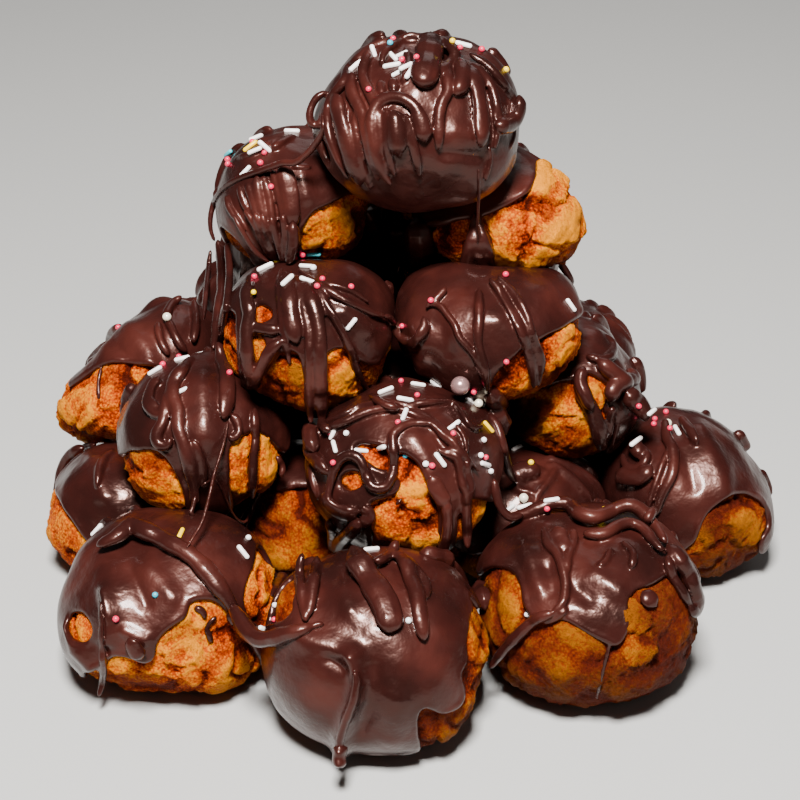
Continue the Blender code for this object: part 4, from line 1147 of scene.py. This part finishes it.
# Lines trailed over the far side: start and sweep in degrees round the heap, upper and lower height in mm.
FAR_LINES = [
    (20, 30, 120, 80), (45, -25, 105, 60), (70, 35, 140, 95), (95, -30, 85, 45), (115, 28, 130, 80),
    (140, -26, 95, 50), (160, 24, 80, 40), (75, -22, 60, 25), (125, 25, 60, 20), (30, 24, 70, 30),
    (100, 30, 115, 70), (55, -30, 90, 45), (150, -20, 60, 20), (85, 18, 150, 120),
]

depsgraph = bpy.context.evaluated_depsgraph_get()
surfaces = {obj.name: BVHTree.FromObject(obj, depsgraph) for obj in [*caps.values(), *buns.values()]}


def first_hit(origin, direction):
    """The nearest point of the heap along a ray: place, normal, distance and piece."""
    best = None
    for label, tree_of in surfaces.items():
        place_at, normal, _, distance = tree_of.ray_cast(origin, direction)
        if place_at is not None and (best is None or distance < best[2]):
            best = (place_at, normal, distance, label)
    return best


def pulled_tight(depths):
    """Depths of a thread pulled tight in front of what lies at the given depths."""
    hull = []
    for i, d in ((i, d) for i, d in enumerate(depths) if d is not None):
        while len(hull) > 1:
            (i1, d1), (i2, d2) = hull[-2:]
            if (d2 - d1) * (i - i1) < (d - d1) * (i2 - i1):
                break
            hull.pop()
        hull.append((i, d))
    return np.interp(range(len(depths)), [i for i, _ in hull], [d for _, d in hull])


def pulled_rope(rays, half):
    """A rope laid in front of the heap along a line of rays, as a list of one shape, or none."""
    hits = [first_hit(origin, ray) for origin, ray in rays]
    if sum(hit is not None for hit in hits) < 3:
        return []
    depths = pulled_tight([hit[2] if hit else None for hit in hits])
    points = [origin + ray * (depth - half * 0.35) for (origin, ray), depth in zip(rays, depths)]
    outs = [-ray for _, ray in rays]
    return [rope(points, outs, swelling(points, half, False), 1.0, 8)]


def unseen_runs(rays):
    """The stretches of a line of rays whose hits the heap itself hides from the eye."""
    runs = [[]]
    for origin, ray in rays:
        hit = first_hit(origin, ray)
        near = hit[0] + hit[1] * 3 * MM if hit else None
        if hit and first_hit(near, (EYE - near).normalized()):
            runs[-1].append((origin, ray))
        elif runs[-1]:
            runs.append([])
    return [run for run in runs if len(run) > 8]


shapes = []
for half, *pixels in THREADS_PX:
    shapes += pulled_rope([(EYE, sight(px, py)) for px, py, _ in soft_line(pixels)], half * MM)
for azimuth, sweep, upper, lower in FAR_LINES:
    rays = []
    for t in (i / 49 for i in range(50)):
        turn = math.radians(azimuth + sweep * t + 6 * math.sin(t * 7 + azimuth))
        aim = Vector((0, 0, (upper + (lower - upper) * t) * MM))
        start = aim + Vector((math.cos(turn), math.sin(turn), 0)) * 0.3 + Vector((0, 0, 0.12))
        rays.append((start, (aim - start).normalized()))
    half = rng.uniform(0.7, 1.5) * MM
    for run in unseen_runs(rays):
        shapes += pulled_rope(run, half)
threads = mesh_object("chocolate_threads", shapes)
shape_with(threads, "REMESH", mode="VOXEL", voxel_size=THREAD_VOXEL_MM * MM, use_smooth_shade=True)
shape_with(threads, "SMOOTH", factor=0.5, iterations=3)
shape_with(threads, "DECIMATE", ratio=0.35)
threads.data.materials.append(chocolate)
threads.data.shade_smooth()
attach(threads, "root")

# ---- The sugar sprinkles -------------------------------------------------------------------------
# Pressed sugar rods, sugar balls and a few larger pearls, thrown on while the chocolate was still soft,
# so that each has sunk a little into it.
ROD_MM = (4.7, 1.4)
BALL_MM = 1.75
PEARL_MM = 5.6
SMALL_PEARL_MM = 2.8
FAR_SPRINKLES = 90

# Rods as pixel across, pixel down and lean in degrees; balls and pearls as pixels.
WHITE_RODS = [
    (372, 53, -62), (355, 66, 42), (392, 57, -65), (401, 55, -8), (391, 66, -5), (405, 67, 45),
    (398, 73, 20), (408, 73, 50), (438, 29, 40), (462, 45, -10), (245, 172, 38), (291, 132, -10),
    (254, 151, 20), (264, 147, -40), (265, 268, 28), (287, 281, 65), (306, 267, -15), (351, 324, 50),
    (570, 305, -38), (418, 385, 5), (437, 384, 0), (405, 400, 5), (386, 391, 30), (404, 416, 70),
    (472, 402, -48), (494, 411, 15), (454, 426, 55), (440, 460, -52), (485, 464, -8), (334, 433, 62),
    (335, 447, -58), (382, 447, 58), (361, 451, 0), (181, 392, 38), (155, 372, 15), (243, 553, -60),
    (264, 630, -5), (372, 550, 58), (552, 500, 10), (525, 506, 15), (509, 509, 40), (517, 448, 70),
    (677, 430, -75), (636, 441, 50), (651, 411, 10), (182, 360, 40),
]
YELLOW_RODS = [(181, 535, 85), (488, 427, -22), (250, 147, 40)]
TEAL_RODS = [(313, 254, -3), (228, 154, 10)]
PINK_BALLS = [
    (392, 40), (402, 60), (416, 58), (368, 90), (314, 91), (458, 48), (480, 50), (227, 160), (264, 154),
    (260, 164), (271, 187), (294, 257), (301, 255), (253, 278), (322, 280), (317, 287), (163, 366),
    (229, 374), (403, 326), (431, 301), (401, 382), (417, 396), (505, 275), (506, 361), (474, 391),
    (398, 423), (453, 434), (432, 466), (485, 457), (331, 432), (334, 463), (638, 405), (666, 412),
    (655, 419), (654, 424), (669, 428), (547, 508), (116, 620), (274, 620), (228, 165), (252, 143),
]
YELLOW_BALLS = [(276, 260), (252, 293), (427, 30), (451, 42), (504, 70), (531, 463)]
BLUE_BALLS = [(405, 456), (156, 596), (389, 44)]
WHITE_BALLS = [
    (347, 434), (483, 440), (480, 455), (490, 471), (426, 464), (248, 539), (275, 606), (409, 621),
    (528, 614), (313, 269),
]
PEARLS = [(463, 380)]
SMALL_PEARLS = [(167, 320), (479, 400), (524, 497)]


def sugar(name, code, rough, metal):
    """Pressed or glazed sugar: opaque and even in colour, with faint flecks from its grains."""
    values = {"Roughness": rough, "Metallic": metal, "IOR": 1.5}
    material, tree, surface, place = new_material(name, values)
    scale = {"Vector": place, "Scale": 1 / (1.2 * MM), "Detail": 2.0, "Roughness": 0.5}
    fleck = add_node(tree, "ShaderNodeTexNoise", scale).outputs["Fac"]
    pale = linear(code)
    deep = [c * 0.8 for c in pale[:3]] + [1.0]
    shade = add_node(tree, "ShaderNodeMix", {0: fleck, 6: deep, 7: pale}, data_type="RGBA")
    tree.links.new(shade.outputs[2], surface.inputs["Base Color"])
    bump = add_node(tree, "ShaderNodeBump", {"Height": fleck, "Strength": 0.2, "Distance": 0.2 * MM})
    tree.links.new(bump.outputs[0], surface.inputs["Normal"])
    return material


def sugar_form(length_mm, width_mm, segments, rings):
    """One sprinkle at the origin, lying along X: a ball drawn out into a rod, as vertices and faces."""
    stretch = (length_mm - width_mm) * MM
    bpy.ops.object.select_all(action="DESELECT")
    bpy.ops.mesh.primitive_uv_sphere_add(
        segments=segments, ring_count=rings, radius=width_mm / 2 * MM, rotation=(0, math.pi / 2, 0)
    )
    form = bpy.context.object
    bpy.ops.object.transform_apply(location=False, rotation=True, scale=False)
    bpy.ops.object.mode_set(mode="EDIT")
    bpy.ops.mesh.select_all(action="DESELECT")
    bpy.ops.object.mode_set(mode="OBJECT")
    for vert in form.data.vertices:
        vert.select = vert.co.x > 0.01 * MM
    bpy.ops.object.mode_set(mode="EDIT")
    bpy.ops.transform.translate(value=(stretch, 0, 0))
    bpy.ops.object.mode_set(mode="OBJECT")
    verts = [v.co - Vector((stretch / 2, 0, 0)) for v in form.data.vertices]
    faces = [tuple(p.vertices) for p in form.data.polygons]
    bpy.data.objects.remove(form)
    return verts, faces


def laid(form, hit, along, sunk_mm, size):
    """A sprinkle laid on a surface: moved, turned and pressed in."""
    verts, faces = form
    place_at, normal = hit[0], hit[1]
    along = (along - normal * along.dot(normal)).normalized()
    side = normal.cross(along)
    at = place_at - normal * sunk_mm * MM
    return [at + (along * v.x + side * v.y + normal * v.z) * size for v in verts], faces


def leaning(degrees):
    """The direction across the view that leans up by so many degrees."""
    turn = math.radians(degrees)
    return rightward * math.cos(turn) + upward * math.sin(turn)


rod = sugar_form(*ROD_MM, 8, 7)
ball = sugar_form(BALL_MM, BALL_MM, 10, 7)
pearl = sugar_form(PEARL_MM, PEARL_MM, 24, 16)
small_pearl = sugar_form(SMALL_PEARL_MM, SMALL_PEARL_MM, 16, 10)

# Spots on chocolate that the eye doesn't see, under drops from above.
far_spots = []
while len(far_spots) < FAR_SPRINKLES:
    above = Vector((rng.uniform(-0.11, 0.11), rng.uniform(-0.06, 0.115), 0.4))
    hit = first_hit(above, Vector((0, 0, -1)))
    if hit is None or hit[1].z < 0.55 or hit[3].startswith("baked"):
        continue
    back = (EYE - hit[0]).normalized()
    if hit[1].dot(back) > 0.05 and first_hit(hit[0] + hit[1] * MM, back) is None:
        continue
    far_spots.append(hit)

# Each kind: piece, colour, roughness, metal, form, the spots in view, and how many lie on the far side.
kinds = (
    ("white_sugar_rods", "#F6EDE6", 0.35, 0.0, rod, WHITE_RODS, 34),
    ("yellow_sugar_rods", "#F2C200", 0.35, 0.0, rod, YELLOW_RODS, 5),
    ("teal_sugar_rods", "#3FB4BE", 0.35, 0.0, rod, TEAL_RODS, 4),
    ("pink_sugar_balls", "#D2284A", 0.25, 0.0, ball, PINK_BALLS, 28),
    ("yellow_sugar_balls", "#EFC70E", 0.25, 0.0, ball, YELLOW_BALLS, 6),
    ("blue_sugar_balls", "#2F9FB4", 0.25, 0.0, ball, BLUE_BALLS, 3),
    ("white_sugar_balls", "#F4ECE8", 0.25, 0.0, ball, WHITE_BALLS, 8),
    ("silver_pink_pearls", "#B58C88", 0.25, 0.7, pearl, PEARLS, 1),
    ("cream_pearls", "#EFE2C8", 0.25, 0.1, small_pearl, SMALL_PEARLS, 1),
)
for name, code, rough, metal, form, spots, more in kinds:
    sunk_mm = 0.25 * BALL_MM - max(v.z for v in form[0]) / MM
    shapes = []
    for px, py, *lean in spots:
        hit = first_hit(EYE, sight(px, py))
        if hit:
            along = leaning(lean[0] if lean else 0)
            shapes.append(laid(form, hit, along, sunk_mm, rng.uniform(0.9, 1.08)))
    for _ in range(more):
        hit = far_spots.pop()
        shapes.append(laid(form, hit, leaning(rng.uniform(0, 180)), sunk_mm, rng.uniform(0.9, 1.08)))
    piece = mesh_object(name, shapes)
    piece.data.materials.append(sugar(name + "_sugar", code, rough, metal))
    piece.data.shade_smooth()
    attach(piece, "root")

# ---- The floor and the light ---------------------------------------------------------------------
# A pale seamless table. One small soft lamp high in front gives the crisp shines and short shadows of
# sunlight, and two weak wide ones lift the right side and the rim.
bpy.ops.object.select_all(action="DESELECT")
bpy.ops.mesh.primitive_plane_add(size=6.0, location=(0, 0, 0))
floor = bpy.context.object
floor.name = "floor"
pale = bpy.data.materials.new("pale_table")
pale.use_nodes = True
pale.node_tree.nodes["Principled BSDF"].inputs["Base Color"].default_value = linear("#A6A4A0")
pale.node_tree.nodes["Principled BSDF"].inputs["Roughness"].default_value = 0.8
floor.data.materials.append(pale)

world = bpy.data.worlds.new("studio")
bpy.context.scene.world = world
world.use_nodes = True
world.node_tree.nodes["Background"].inputs["Color"].default_value = linear("#FFFFFF")
world.node_tree.nodes["Background"].inputs["Strength"].default_value = 0.05

for label, spot, size, watts in (
    ("key", (-0.04, -0.46, 0.84), 0.18, 38.0),
    ("fill", (0.80, -0.70, 0.50), 0.80, 0.5),
    ("rim", (0.20, 0.90, 0.80), 0.60, 1.2),
):
    light = bpy.data.lights.new(label, "AREA")
    light.size = size
    light.energy = watts
    lamp = bpy.data.objects.new(label, light)
    lamp.location = spot
    lamp.rotation_euler = (Vector((0, 0, 0.07)) - Vector(spot)).to_track_quat("-Z", "Y").to_euler()
    bpy.context.scene.collection.objects.link(lamp)
